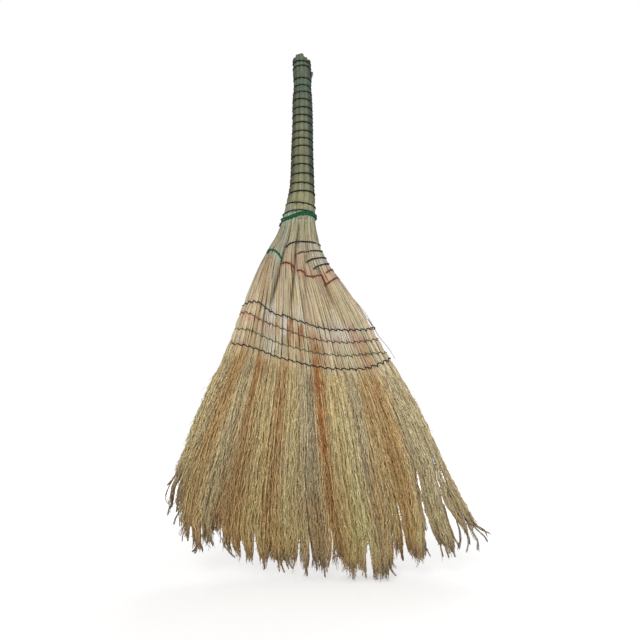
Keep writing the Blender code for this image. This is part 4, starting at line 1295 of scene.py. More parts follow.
def brush_fibres(chance):
    """Crimped fibres in clumps: paths, radii, colours, shares where they start and where they run."""
    clumps = CLUMPS_ACROSS * CLUMPS_DEEP
    clump_x = np.repeat((np.arange(CLUMPS_ACROSS) + 0.5) / CLUMPS_ACROSS * 2 - 1, CLUMPS_DEEP)
    clump_x = clump_x + chance.uniform(-1, 1, clumps) / CLUMPS_ACROSS
    clump_y = np.tile((np.arange(CLUMPS_DEEP) + 0.5) / CLUMPS_DEEP * 2 - 1, CLUMPS_ACROSS)
    clump_y = clump_y + chance.uniform(-CLUMP_DEEP_JITTER, CLUMP_DEEP_JITTER, clumps)
    clump_y = clump_y.clip(-CLUMP_DEEPEST, CLUMP_DEEPEST)
    clump_tip = tip_heights((clump_x + 1) / 2)
    clump_tip = clump_tip + CLUMP_TIP_STRAY[0] * chance.random(clumps) ** CLUMP_TIP_STRAY[1]
    curl_x = chance.normal(*CLUMP_CURL_X, clumps)
    curl_y = chance.normal(0, CLUMP_CURL_Y, clumps)
    drift_x = chance.normal(0, CLUMP_DRIFT, clumps)
    own = pick(chance, clumps, (
        (BRUSH_GOLD, 4), (BRUSH_CREAM, 2), (BRUSH_TAN, 3), (BRUSH_GREEN, 1.5), (BRUSH_GREY, 1.5),
        (BRUSH_ORANGE, 2),
    ))
    clump_colour = CLUMP_BAND_SHARE * band_colours((clump_x + 1) / 2) + CLUMP_OWN_SHARE * own

    count = clumps * FIBRES_IN_CLUMP
    clump = np.repeat(np.arange(clumps), FIBRES_IN_CLUMP)
    off_x = chance.uniform(-1, 1, count)
    off_y = chance.uniform(-1, 1, count)
    start_x = clump_x[clump] + off_x / CLUMPS_ACROSS * FIBRE_START_SPREAD
    start_across = ((start_x + 1) / 2).clip(0, 1)
    lowest_row = row_height(ROW_COUNT - 1, start_across)
    tops = lowest_row + chance.uniform(*FIBRE_TOP_RANGE, count)
    tips = clump_tip[clump] + FIBRE_TIP_STRAY[0] * chance.random(count) ** FIBRE_TIP_STRAY[1]
    stray = chance.random(count) < STRAY_SHARE
    tips = np.maximum(tips - stray * chance.uniform(*STRAY_LENGTHS, count), FLOOR_GAP)
    places = np.linspace(0, 1, FIBRE_STEPS)[None, :]
    heights = between(tops[:, None], tips[:, None], places)
    above_tip = heights - clump_tip[clump][:, None]
    gather = between(GATHER_SHARE, 1.0, ease(*GATHER_OVER_TIP, above_tip))
    spread = between(*SPREAD, ease(*SPREAD_HEIGHTS, heights)) * gather
    sideways = (clump_x[clump][:, None] + off_x[:, None] / CLUMPS_ACROSS * spread) * SIDE_SPARE
    shares = ((sideways[:, 0] + 1) / 2).clip(0.0, LAST_SHARE)
    sunk = between(SUNK_SHARE, 1.0, ease(0.0, SUNK_BELOW, lowest_row[:, None] - heights))
    deep = clump_y[clump][:, None] + off_y[:, None] / CLUMPS_DEEP * spread * FIBRE_DEEP_SPREAD
    x, y = in_fan(sideways, np.clip(deep * sunk, -DEEPEST, DEEPEST), heights)
    curl = np.clip(1 - above_tip / CURL_REACH, 0, CURL_LIMIT) ** 2
    x += drift_x[clump][:, None] * ease(*DRIFT_HEIGHTS, heights) + curl_x[clump][:, None] * curl
    y += curl_y[clump][:, None] * curl
    loose = ease(*LOOSE_HEIGHTS, heights) * between(*LOOSENESS, ease(*LOOSER_HEIGHTS, heights))
    loose = loose * (1 + STRAY_LOOSER * stray[:, None])
    clump_phase = chance.uniform(0, 2 * math.pi, clumps)[clump, None]
    fibre_phase = chance.uniform(0, 2 * math.pi, (count, 1))
    sway = wave(heights, *CLUMP_WAVE, clump_phase) + wave(heights, *FIBRE_WAVE, fibre_phase)
    x += sway * ease(*WAVE_HEIGHTS, heights)
    for places_along in (x, y):
        wander = chance.normal(0, 1, (count, FIBRE_STEPS)).clip(-WANDER_LIMIT, WANDER_LIMIT)
        slow = np.cumsum(chance.normal(0, 1, (count, FIBRE_STEPS)), axis=1) * SLOW_WANDER
        places_along += (wander + slow) * loose
    y = y.clip(AXIS_Y - BRUSH_HALF_DEPTH, AXIS_Y + BRUSH_HALF_DEPTH)
    paths = np.stack((x, y, heights), axis=-1)
    open_slits(paths, shares, chance)
    radii = between(FIBRE_TOP_RADIUS, FIBRE_TIP_RADIUS, places ** FIBRE_TAPER)
    radii = radii * chance.uniform(*FIBRE_GIRTHS, (count, 1))
    radii = radii * (1 + KNOBBLE * chance.normal(0, 1, (count, FIBRE_STEPS)).clip(*KNOBBLE_RANGE))

    own = pick(chance, count, (
        (BRUSH_GOLD, 3), (BRUSH_CREAM, 3), (BRUSH_TAN, 3), (BRUSH_GREY, 2), (BRUSH_ORANGE, 2),
        (BRUSH_BROWN, 1),
    ))
    streaks = chance.uniform(*STREAK_RANGE, STREAKS_ACROSS)
    streak = np.interp(start_x, np.linspace(-1, 1, STREAKS_ACROSS), streaks)[:, None]
    colours = between(clump_colour[clump], own, FIBRE_OWN_SHARE)
    colours = colours * chance.uniform(*FIBRE_SHADE, (count, 1)) * streak
    colours = np.repeat(colours[:, None, :], FIBRE_STEPS, axis=1)
    colours = mark(paths, colours, BRUSH_MARKS, chance)
    for tint, amount in (
        # Painted light low down.
        (LOW_PAINTED_LIGHT, ease(*LOW_HEIGHTS, heights)),
        (ROWS_TINT, ease(*ROWS_HEIGHTS, heights)),
        (DRY_TINT, ease(*DRY_OVER_TIP, above_tip)),
    ):
        colours = colours * between(1.0, tint, amount[..., None])
    colours = colours * chance.uniform(*STEP_SHADE, (count, FIBRE_STEPS, 1))
    return paths, radii, colours.clip(0, BRIGHTEST), start_across, shares


def brush_branches(chance, paths, radii, colours, shares):
    """Short side branches that leave the fibres downwards and a little outwards."""
    count = len(paths) * BRANCHES_PER_FIBRE
    owner = np.repeat(np.arange(len(paths)), BRANCHES_PER_FIBRE)
    at = chance.integers(BRANCH_FROM, FIBRE_STEPS - BRANCH_AHEAD, count)
    start = paths[owner, at]
    onward = paths[owner, np.minimum(at + BRANCH_AHEAD, FIBRE_STEPS - 1)] - start
    onward /= np.linalg.norm(onward, axis=1, keepdims=True)
    angle = chance.uniform(0, 2 * math.pi, count)
    away = np.stack((np.cos(angle), np.sin(angle) * BRANCH_FLATNESS, np.zeros(count)), axis=1)
    length = chance.uniform(*BRANCH_LENGTHS, count)
    steps = np.linspace(0, 1, BRANCH_STEPS + 1)
    lean = chance.uniform(*BRANCH_LEANS, count)[:, None, None]
    run = length[:, None, None] * steps[None, :, None]
    branch = start[:, None, :] + onward[:, None, :] * run + away[:, None, :] * run * lean
    branch = branch + chance.normal(0, BRANCH_WIGGLE, branch.shape) * (steps > 0)[None, :, None]
    open_slits(branch, shares[owner], chance, False)
    held_in(branch)
    radius = radii[owner, at][:, None] * between(*BRANCH_TAPER, steps)[None, :]
    colour = np.repeat(colours[owner, at][:, None, :], BRANCH_STEPS + 1, axis=1)
    own = pick(chance, count, (
        (BRUSH_CREAM, 3), (BRUSH_GOLD, 3), (BRUSH_ORANGE, 2), (BRUSH_BROWN, 1.2),
    ))
    colour = between(colour, own[:, None, :], BRANCH_OWN_SHARE)
    colour = colour * chance.uniform(*BRANCH_SHADE, (count, 1, 1))
    return branch, radius, colour.clip(0, BRIGHTEST)


def brush_husks(chance, paths, colours):
    """Short seed husks along the fibres, darker and paler than the fibres that carry them."""
    count = len(paths) * HUSKS_PER_FIBRE
    owner = np.repeat(np.arange(len(paths)), HUSKS_PER_FIBRE)
    at = chance.integers(HUSK_FROM, FIBRE_STEPS - 2, count)
    start = between(paths[owner, at], paths[owner, at + 1], chance.random((count, 1)))
    angle = chance.uniform(0, 2 * math.pi, count)
    down = chance.uniform(*HUSK_DOWN, count)
    away = np.stack((np.cos(angle) * HUSK_AWAY[0], np.sin(angle) * HUSK_AWAY[1], -down), axis=1)
    length = chance.uniform(*HUSK_LENGTHS, count)[:, None, None]
    husk = start[:, None, :] + away[:, None, :] * length * HUSK_PLACES[None, :, None]
    held_in(husk)
    radius = HUSK_RADIUS * chance.uniform(*HUSK_GIRTHS, (count, 1)) * HUSK_PROFILE
    own = colours[owner, at]
    warm = ((HUSK_WARMTH[0] - own[:, 1] / own[:, 0]) / HUSK_WARMTH[1]).clip(0, 1)[:, None]
    plain = pick(chance, count, ((HUSK_BROWN, 3), (HUSK_PALE, 3), (BRUSH_TAN, 2), (HUSK_ORANGE, 1)))
    warmer = pick(chance, count, (
        (HUSK_ORANGE, 5), (HUSK_BROWN, 2), (BRUSH_ORANGE, 2), (HUSK_PALE, 1),
    ))
    colour = between(own, between(plain, warmer, warm), HUSK_OWN_SHARE)
    colour = colour * chance.uniform(*HUSK_SHADE, (count, 1))
    return husk, radius, np.repeat(colour[:, None, :], len(HUSK_PLACES), axis=1).clip(0, BRIGHTEST)


def pale_strands(chance):
    """Long bare stems that lie over the brush below the rows: paths, radii, colours and shares."""
    count = PALE_STRANDS
    side = np.where(np.arange(count) % 2, 1.0, -1.0)[:, None]
    shares = chance.uniform(*PALE_SHARES, count)
    tops = row_height(ROW_COUNT - 1, shares) - PALE_DROP
    feet = chance.uniform(*PALE_FEET, count)
    places = np.linspace(0, 1, PALE_STEPS)[None, :]
    heights = between(tops[:, None], feet[:, None], places)
    phase = chance.uniform(0, 2 * math.pi, (count, 1))
    sideways = shares[:, None] * 2 - 1 + wave(heights, *PALE_WAVE, phase)
    sunk = between(PALE_SUNK, 1.0, ease(0.0, PALE_SUNK_BELOW, tops[:, None] - heights))
    x, y = in_fan(sideways, side * (sunk + PALE_LIFT), heights)
    paths = np.stack((x, y, heights), axis=-1)
    open_slits(paths, shares, chance)
    radii = between(*PALE_RADII, places) * chance.uniform(*PALE_GIRTHS, (count, 1))
    own = pick(chance, count, ((PALE_BRUSH, 3), (BRUSH_CREAM, 2)))
    colours = between(own, band_colours(shares), PALE_BAND_SHARE)
    colours = np.repeat(colours[:, None, :], PALE_STEPS, axis=1)
    colours = colours * chance.uniform(*PALE_SHADE, (count, PALE_STEPS, 1))
    return paths, radii, colours.clip(0, BRIGHTEST), shares


def add_brush():
    chance = np.random.default_rng(SEED + 1)
    paths, radii, colours, across, shares = brush_fibres(chance)
    pale = pale_strands(chance)
    behind = paths[:, FIBRE_STEPS // 2, 1] > AXIS_Y
    pale_behind = pale[0][:, 0, 1] > AXIS_Y
    for bunch in range(len(BUNCH_EDGES) - 1):
        for side, half, pale_half in (("front", ~behind, ~pale_behind), ("back", behind, pale_behind)):
            own = (bunch_of(across) == bunch) & half
            bare = (bunch_of(pale[3]) == bunch) & pale_half
            fibres = paths[own], radii[own], colours[own]
            branches = brush_branches(chance, *fibres, shares[own])
            husks = brush_husks(chance, fibres[0], fibres[2])
            parts = [
                tubes(*strands[:2], FIBRE_SIDES, strands[2], chance)
                for strands in (fibres, branches, husks)
            ]
            parts.append(tubes(pale[0][bare], pale[1][bare], PALE_SIDES, pale[2][bare], chance))
            name = f"brush_{bunch + 1}_{side}"
            mesh = make_mesh(name, *join_arrays(parts))
            add_piece(name, mesh, brush_straw, [f"fringe_{bunch + 1}"])


# Handle: twelve culms round six and one, held by the winding.
HANDLE_RADIUS = (
    (0.500, 0.0185), (0.515, 0.0205), (0.527, 0.0220), (0.535, 0.0222), (0.541, 0.0219), (0.551, 0.0209),
    (0.565, 0.0193), (0.580, 0.0182), (0.610, 0.0173), (0.639, 0.0167), (0.666, 0.0160), (0.692, 0.0158),
    (0.721, 0.0150), (0.738, 0.0136), (0.755, 0.0143), (0.783, 0.0142), (0.789, 0.0136), (0.800, 0.0120),
)
HANDLE_SHIFT = (
    (0.500, -0.0010), (0.535, -0.0006), (0.541, -0.0004), (0.551, 0.0006), (0.565, 0.0014), (0.580, 0.0018),
    (0.639, 0.0016), (0.666, 0.0018), (0.721, 0.0013), (0.755, 0.0012), (0.769, 0.0004), (0.783, 0.0),
    (0.800, 0.0),
)
RING_HEIGHTS = (
    0.7774, 0.7694, 0.7489, 0.7361, 0.7250, 0.7118, 0.6980, 0.6854, 0.6725, 0.6586,
    0.6460, 0.6331, 0.6172, 0.6026, 0.5882, 0.5726, 0.5588, 0.5408,
)
CULM_TOPS = (
    (-0.0150, 0.7880), (-0.0090, 0.7965), (-0.0050, 0.8000), (0.0, 0.7975),
    (0.0060, 0.7945), (0.0110, 0.7880), (0.0150, 0.7850),
)
# The bundle's depth by its width, lower at the stems.
HANDLE_FLATNESS = (0.88, 0.97)
HANDLE_FLAT_HEIGHTS = (0.53, 0.60)
HANDLE_SPARE = 0.0008
# Culms of the bundle: the outer ring's number, the inner ring's, and the rings' places in the radius.
OUTER_CULMS = 12
INNER_CULMS = 6
CULM_RING_SHARES = (0.0, 0.5, 1.0)
CULM_TURN = math.radians(-3)
CULM_FLAT = 1.22
CULM_FOOT = 0.515
CULM_STEPS = 90
CULM_SIDES = 14
CULM_GIRTHS = (0.98, 1.06)
SHORT_BEND = (0.00022, 0.013)
LONG_BEND = (0.0003, 0.041)
DEEP_BEND = (0.00022, 0.016)
# Where the winding pulls them in.
RING_PULL = 0.0015
RING_WIDTH = 0.0035
PULLED_GIRTH = 0.98
# Their cut tops: how far rings of the cut lie under the top, and how wide they are.
TOP_LEAN = 0.62
TOP_JITTER = 0.0015
CUT_DROPS = (0.0, 0.0002, 0.0003, 0.0004, 0.0009, 0.0016)
CUT_GIRTHS = (0.05, 0.56, 0.64, 0.90, 0.98, 1.0)
CUT_RINGS = len(CUT_DROPS)
CUT_END = 0.004
CUT_SLOPE = 0.55
PITH_RINGS = 2
PITH_SHADE = (0.7, 1.1)
BARK_RINGS = 4
BARK_SHADE = 0.6
# Their nodes: a swelling with a groove under it.
NODE_HEIGHTS = (0.56, 0.78)
NODE_SWELL = 0.00035
NODE_WIDTH = 0.0022
NODE_GROOVE_DROP = 0.003
NODE_GROOVE_WIDTH = 0.0012
NODE_GROOVE_BITE = 0.8
NODE_GROOVE_SHADE = 0.5
# Their colours: greener upwards, browner at the stems, painted shade at the sides, with bloom of mint.
CULM_TINT = (0.92, 1.0, 0.95)
CULM_SHADE = (0.80, 1.12)
CULM_SHADE_SHARE = 0.6
GREEN_HEIGHTS = (0.60, 0.76)
OWN_IN_GREEN = 0.35
GREEN_IN_GREEN = 0.65
BROWN_HEIGHTS = (0.60, 0.53)
BROWN_TINT = (0.60, 0.68, 0.62)
BROWN_SHARE = 0.70
EDGE_PAINTED_SHADE = np.array((0.14, 0.175, 0.135))
EDGE_FALL = 5
EDGE_HEIGHTS = (0.53, 0.56)
RIGHT_EDGE_PAINTED_SHADE = 0.80
MINT_PATCHES = 0.55
MINT_LENGTH = 0.017
MINT_WIDTH = 0.5
MINT_HEIGHTS = (0.66, 0.74)
MINT_IN_BANDS = 0.8
MINT_BANDS = ((1.0, 0.7734, 0.003), (0.75, 0.743, 0.006))
MOST_MINT = 0.85


def handle_section(height):
    """Middle x, half width and half depth of the bound culms."""
    half = read_smooth(HANDLE_RADIUS, height) + HANDLE_SPARE
    flatness = between(*HANDLE_FLATNESS, ease(*HANDLE_FLAT_HEIGHTS, height))
    return AXIS_X + read_smooth(HANDLE_SHIFT, height), half, half * flatness


def culm_colours(chance, heights, edge, phase, groove):
    """Colours down a culm; edge is how near it lies to the bundle's sides, which are painted darker as
    shade.
    """
    own = pick(chance, 1, ((CULM_STRAW, 3), (CULM_GREY, 2), (CULM_GREEN, 1), (CULM_LILAC, 1)))[0] * CULM_TINT
    up = ease(*GREEN_HEIGHTS, heights)[:, None]
    down = ease(*BROWN_HEIGHTS, heights)[:, None]
    colour = between(own[None, :], own[None, :] * OWN_IN_GREEN + CULM_GREEN * GREEN_IN_GREEN, up)
    colour = between(colour, STRAW * BROWN_TINT, down * BROWN_SHARE)
    # Painted shade: the outer culms darken towards the bundle's sides.
    colour = between(colour, colour * EDGE_PAINTED_SHADE, edge * ease(*EDGE_HEIGHTS, heights)[:, None])
    patches = MINT_PATCHES * bell(np.sin(heights / MINT_LENGTH + phase) - 1, MINT_WIDTH)
    patches = patches * chance.random() * ease(*MINT_HEIGHTS, heights)
    bands = sum(share * bell(heights - place, width) for share, place, width in MINT_BANDS)
    mint = patches + MINT_IN_BANDS * bands
    colour = between(colour, CULM_MINT, np.clip(mint, 0, MOST_MINT)[:, None])
    colour = between(colour, DEEP_BROWN[None, :], (NODE_GROOVE_SHADE * groove)[:, None])
    worn = chance.uniform(*CULM_SHADE, CULM_STEPS)[:, None]
    colour = colour * between(1.0, worn, CULM_SHADE_SHARE)
    colour[:PITH_RINGS] = CULM_PITH * chance.uniform(*PITH_SHADE)
    colour[PITH_RINGS:BARK_RINGS] = CULM_GREEN * BARK_SHADE
    return colour


def add_culms():
    chance = np.random.default_rng(SEED + 2)
    corner = math.sin(math.radians(180 / OUTER_CULMS))
    nodes = sorted(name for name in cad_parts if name.startswith("stalk_"))
    offsets = {node: np.array(middle_of(node)[:2]) - (AXIS_X, AXIS_Y) for node in nodes}
    outward = sorted(nodes, key=lambda node: np.hypot(*offsets[node]))
    for number, node in enumerate(nodes):
        place = outward.index(node)
        ring = (place > 0) + (place > INNER_CULMS)
        off_x, off_y = offsets[node]
        angle = math.atan2(off_y, off_x) + CULM_TURN
        jitter = chance.uniform(-TOP_JITTER, TOP_JITTER)
        top = min(read_line(CULM_TOPS, off_x) + TOP_LEAN * min(off_y, 0.0) + jitter, HANDLE_TOP)
        shaft = np.linspace(top - CUT_END, CULM_FOOT, CULM_STEPS - CUT_RINGS)
        heights = np.concatenate((top - np.array(CUT_DROPS), shaft))
        middle, half_x, half_y = handle_section(heights)
        culm = half_x * corner / (1 + corner)
        phase = chance.uniform(0, 2 * math.pi, 3)
        pull = sum(bell(heights - ring_height, RING_WIDTH) for ring_height in RING_HEIGHTS)
        bend = wave(heights, *SHORT_BEND, phase[0]) + wave(heights, *LONG_BEND, phase[2])
        bend *= 1 - pull.clip(0, 1)
        reach_x, reach_y = (
            (half - culm - RING_PULL * pull) * CULM_RING_SHARES[ring] for half in (half_x, half_y)
        )
        x = middle + reach_x * math.cos(angle) + bend
        y = AXIS_Y + reach_y * math.sin(angle) + wave(heights, *DEEP_BEND, phase[1])
        radius = culm * between(chance.uniform(*CULM_GIRTHS), PULLED_GIRTH, pull.clip(0, 1))
        joint = chance.uniform(*NODE_HEIGHTS)
        groove = bell(heights - joint + NODE_GROOVE_DROP, NODE_GROOVE_WIDTH)
        radius = radius + NODE_SWELL * (bell(heights - joint, NODE_WIDTH) - NODE_GROOVE_BITE * groove)
        radius[:CUT_RINGS] *= CUT_GIRTHS
        path = np.stack((x, y, heights), axis=1)
        # How much painted shade the culm takes at the bundle's sides, a little less on the right.
        edge = abs(math.cos(angle)) ** EDGE_FALL * (ring == 2) * (1.0 if off_x < 0 else RIGHT_EDGE_PAINTED_SHADE)
        colour = culm_colours(chance, heights, edge, phase[1], groove)
        arrays = list(tubes(path[None], radius[None], CULM_SIDES, colour[None], chance))
        rings = arrays[0].reshape(CULM_STEPS, CULM_SIDES, 3)
        slope = chance.uniform(-CUT_SLOPE, CUT_SLOPE, 2)
        lean = (rings[:CUT_RINGS, :, :2] - path[:CUT_RINGS, None, :2]) @ slope
        low = np.abs(slope).sum() * float(radius[CUT_RINGS])
        rings[:CUT_RINGS, :, 2] += lean - low
        sideways = np.array((-math.sin(angle), math.cos(angle))) * min(ring, 1)
        spread = (rings[:, :, :2] - path[:, None, :2]) @ sideways
        rings[:, :, :2] += spread[..., None] * sideways * (CULM_FLAT - 1)
        arrays[0] = rings.reshape(-1, 3)
        name = f"culm_{number + 1:02d}"
        add_piece(name, make_mesh(name, *arrays), culm_straw, [node])


# Twines and threads.
WINDING_RADIUS = 0.0013
COLLAR_RADIUS = 0.0018
WRAP_RADIUS = 0.0012
TIE_RADIUS = WRAP_RADIUS * 1.4
THREAD_RADIUS = 0.00085
# The winding: arc of a step, heights over which it goes from the culms onto the stems, how far its
# middle lies over each, in radii, and the parts of a turn over which it steps down and ends.
WINDING_ARC = math.radians(7.5)
ONTO_STEMS = (0.565, 0.550)
LIFT_ON_CULMS = 0.25
LIFT_ON_STEMS = -0.4
STEP_DOWN = (0.5, 1.0)
LAST_RING_DROP = 0.0035
LAST_RING_TURNS = (0.15, 0.5)
WINDING_SHORT = 0.35
WINDING_WAVER = 0.0005
WAVER_TURN = 0.21


def bound_section(height):
    """Middle x, half width and half depth of whatever is outermost at the neck: culms or stems."""
    middle, half_x, half_y = handle_section(height)
    left, right = fan_sides(height)
    left = np.minimum(left, middle - half_x)
    right = np.maximum(right, middle + half_x)
    return (left + right) / 2, (right - left) / 2, np.maximum(half_y, fan_depth(height))


def handle_route(heights_at, turns, radius):
    """A helix that lies on the bound culms, from the left edge rightwards over the front."""
    angles = np.arange(0, turns * 2 * math.pi, WINDING_ARC)
    heights = heights_at(angles / (2 * math.pi))
    stems = ease(*ONTO_STEMS, heights)
    section = zip(handle_section(heights), bound_section(heights))
    middle, half_x, half_y = (between(culms, bound, stems) for culms, bound in section)
    lift = between(radius * LIFT_ON_CULMS - RING_PULL, radius * LIFT_ON_STEMS, stems)
    x = middle + (half_x + lift) * np.cos(math.pi + angles)
    y = AXIS_Y + (half_y + lift) * np.sin(math.pi + angles)
    return np.stack((x, y, heights), axis=1)


def add_winding():
    """Level rings over the front; the twine steps down to the next ring behind the handle."""
    rings = np.array(RING_HEIGHTS)
    last = len(rings) - 1

    def height_at(turn):
        ring = np.clip(np.floor(turn).astype(int), 0, last)
        step = ease(*STEP_DOWN, turn - ring)
        drop = LAST_RING_DROP * ease(last + LAST_RING_TURNS[0], last + LAST_RING_TURNS[1], turn)
        return between(rings[ring], rings[np.minimum(ring + 1, last)], step) - drop

    route = handle_route(height_at, len(rings) - WINDING_SHORT, WINDING_RADIUS)
    route[:, 2] += WINDING_WAVER * np.sin(np.arange(len(route)) * WAVER_TURN)
    mesh = twine_mesh("winding_twine", route, WINDING_RADIUS)
    add_piece("winding_twine", mesh, twines["olive twine"], ["handle_winding"])


def front_route(pixels, inset):
    """A line on the fan's front through pixels of the picture: (share, height, inset) spots."""
    return [(*seen_on_front(px, py), inset) for px, py in pixels]


def on_stems(spots):
    """Points at (share round the outline, height, inset) spots, over the relief of the stems."""
    shares, heights, insets = np.array(spots).T
    across = across_of(outline.read(shares, heights)[..., 0], heights)
    return outline.place(shares, heights, insets + surface_relief(shares, across, heights))


def joined(start, end, shares):
    """Points on the straight line between two, at shares of it."""
    return [between(start, end, share) for share in shares]


# The collar: pixels that its three turns run through, left to right.
COLLAR_TURNS = (
    (
        (279.6, 226.6), (280.8, 223.6), (283.2, 221.0), (287.0, 219.2), (290.6, 217.6), (294.5, 216.0),
        (299.0, 214.7), (304.0, 214.0), (309.0, 214.3), (313.6, 215.8),
    ),
    (
        (286.6, 217.4), (290.4, 215.9), (294.5, 214.3), (299.0, 212.8), (304.0, 211.9), (309.0, 212.3),
        (313.6, 213.9),
    ),
    (
        (286.4, 212.4), (290.0, 210.9), (294.6, 209.9), (299.5, 209.5), (304.6, 209.9), (309.0, 210.8),
        (313.2, 212.4),
    ),
)
# Its lift in radii, its steps behind, and its end: angles past the last pixel, and how far they drop.
COLLAR_LIFT = 0.45
COLLAR_BEHIND = (0.15, 0.32, 0.5, 0.68, 0.85)
COLLAR_END = (0.22, 0.40, 0.55)
COLLAR_END_DROP = 0.012
COLLAR_DARK_START = 0.024
COLLAR_THIN_END = 0.085
# First guess at how far the neck's front lies from the axis, how often it is bettered, and how near
# to its sides it is still read.
NECK_GUESS = 0.017
NECK_TRIES = 8
NECK_REACH = 0.995


def on_neck(px, py, lift):
    """(angle from the left edge over the front, height) of the neck's surface at a pixel."""
    y = AXIS_Y - NECK_GUESS
    for _ in range(NECK_TRIES):
        place = seen_at_depth(px, py, y)
        middle, half_x, half_y = bound_section(place[2])
        across = float(np.clip((place[0] - middle) / (half_x + lift), -NECK_REACH, NECK_REACH))
        y = AXIS_Y - (half_y + lift) * math.sqrt(1 - across * across)
    return math.acos(-across), place[2]


def add_collar():
    """Three turns at the neck: the tail hangs at the left, and the last turn runs down at the right."""
    lift = COLLAR_RADIUS * COLLAR_LIFT
    rounds = []
    for number, pixels in enumerate(COLLAR_TURNS):
        seen = np.array([on_neck(px, py, lift) for px, py in pixels])
        seen[:, 0] += 2 * math.pi * number
        if rounds:
            rounds += joined(rounds[-1], seen[0], COLLAR_BEHIND)
        rounds += list(seen)
    rounds += [rounds[-1] + np.array((share, -COLLAR_END_DROP * share)) for share in COLLAR_END]
    points = []
    for angle, height in rounds:
        middle, half_x, half_y = bound_section(height)
        x = middle - (half_x + lift) * math.cos(angle)
        y = AXIS_Y - (half_y + lift) * math.sin(angle)
        points.append((float(x), float(y), height))
    mesh = twine_mesh(
        "collar_twine", points, COLLAR_RADIUS, dark_start=COLLAR_DARK_START, thin_end=COLLAR_THIN_END,
    )
    add_piece("collar_twine", mesh, twines["green twine"], ["neck_collar"])


# The wraps and ties, from the top down: colour and pixels, left to right.
WRAPS = (
    ("slate", (
        (285.7, 246.5), (289.6, 243.7), (294.7, 241.9), (300.8, 241.4), (306.9, 241.7), (313.5, 242.4),
        (319.1, 244.2),
    )),
    ("umber", ((295.9, 254.2), (300.8, 252.1), (306.4, 251.4), (313.0, 250.6), (321.7, 251.1))),
    ("slate", ((306.9, 261.8), (311.0, 259.5), (315.6, 258.5), (323.2, 257.5), (326.0, 258.2))),
    ("slate", ((313.8, 268.7), (317.1, 266.4), (322.2, 264.6), (328.5, 263.6))),
    ("rust", ((326.3, 272.5), (330.0, 270.2), (333.0, 269.4))),
    ("rust", ((324.9, 284.9), (329.5, 281.9), (334.8, 278.2), (339.0, 277.6))),
)
LEFT_TIE = ((267.4, 252.6), (269.7, 249.9), (273.0, 249.6), (276.3, 251.6), (279.3, 254.7), (281.2, 259.3))
RED_ROW = (
    (282.2, 262.8), (285.0, 262.3), (288.5, 262.8), (292.6, 265.1), (294.7, 269.5), (299.8, 270.0),
    (304.3, 272.0), (305.4, 275.0), (310.3, 276.1), (313.4, 276.5), (320.3, 274.6), (322.2, 275.4),
    (324.0, 279.0), (325.6, 284.0),
)
# How far the wraps' middles lie over the stems, in radii, and where they cross the right edge.
WRAP_LIFT = 0.55
EDGE_LIFT = -0.1
EDGE_SHARE = 0.5
EDGE_WIDTH = 0.02
# Spots of a wrap behind the stems: where the first lies, how many, and how soon they are down.
BEHIND_FROM = 0.47
BEHIND_MARGIN = 0.03
BEHIND_SPOTS = 8
BEHIND_HASTE = 1.5
WRAP_RETURN = (0.2, 0.5, 0.8)
# The two ties: lift in radii, spots behind, how far in the left one turns back, and spots at the sides.
TIE_LIFT = 0.8
LEFT_TIE_SPOTS = 7
LEFT_TIE_MARGIN = 0.01
RED_ROW_SPOTS = 9
TIE_CROSSING = (0.25, 0.75)


def wrap_route(pixels, radius, back_height):
    """A wrap: over the front through pixels, round the right edge and behind, back between bunches."""
    front = front_route(pixels, -radius * WRAP_LIFT)
    behind_share = 1 - front[0][0]
    last_share, last_height, _ = front[-1]
    back = []
    first = max(last_share, BEHIND_FROM) + BEHIND_MARGIN
    for share in np.linspace(first, behind_share, BEHIND_SPOTS):
        move = (share - last_share) / (behind_share - last_share)
        lift = between(WRAP_LIFT, EDGE_LIFT, bell(share - EDGE_SHARE, EDGE_WIDTH))
        height = between(last_height, back_height, min(1.0, move * BEHIND_HASTE))
        back.append((share, height, -radius * lift))
    points = [*on_stems(front), *on_stems(back)]
    return points + joined(points[-1], points[0], WRAP_RETURN)


def tie_route(pixels, spots, margin=0.0):
    """A tie: its points over the front through pixels and round the right edge, and those behind."""
    lift = -WRAP_RADIUS * TIE_LIFT
    front = front_route(pixels, lift)
    shares = 1 - np.linspace(front[-1][0], front[0][0] + margin, spots)
    heights = between(front[-1][1], front[0][1], np.linspace(0, 1, spots))
    front = list(on_stems(front))
    behind = list(on_stems([(share, height, lift) for share, height in zip(shares, heights)]))
    return front + joined(front[-1], behind[0], TIE_CROSSING), behind


def add_wraps():
    for number, (colour, pixels) in enumerate(WRAPS):
        points = wrap_route(pixels, WRAP_RADIUS, WRAP_HEIGHTS[number])
        name = f"shoulder_twine_{number + 1}"
        mesh = twine_mesh(name, points, WRAP_RADIUS, closed=True)
        twine = twines[f"{colour} twine"]
        add_piece(name, mesh, twine, [f"shoulder_wrap_{number + 1}"])

    front, behind = tie_route(LEFT_TIE, LEFT_TIE_SPOTS, LEFT_TIE_MARGIN)
    mesh = twine_mesh("left_tie_twine", front + behind, TIE_RADIUS, closed=True)
    add_piece("left_tie_twine", mesh, twines["green twine"], ["left_bunch_tie"])

    front, behind = tie_route(RED_ROW, RED_ROW_SPOTS)
    points = front + behind + joined(behind[-1], front[0], TIE_CROSSING)
    mesh = twine_mesh("red_row_twine", points, WRAP_RADIUS, closed=True)
    add_piece("red_row_twine", mesh, twines["rust twine"], ["red_neck_row"])


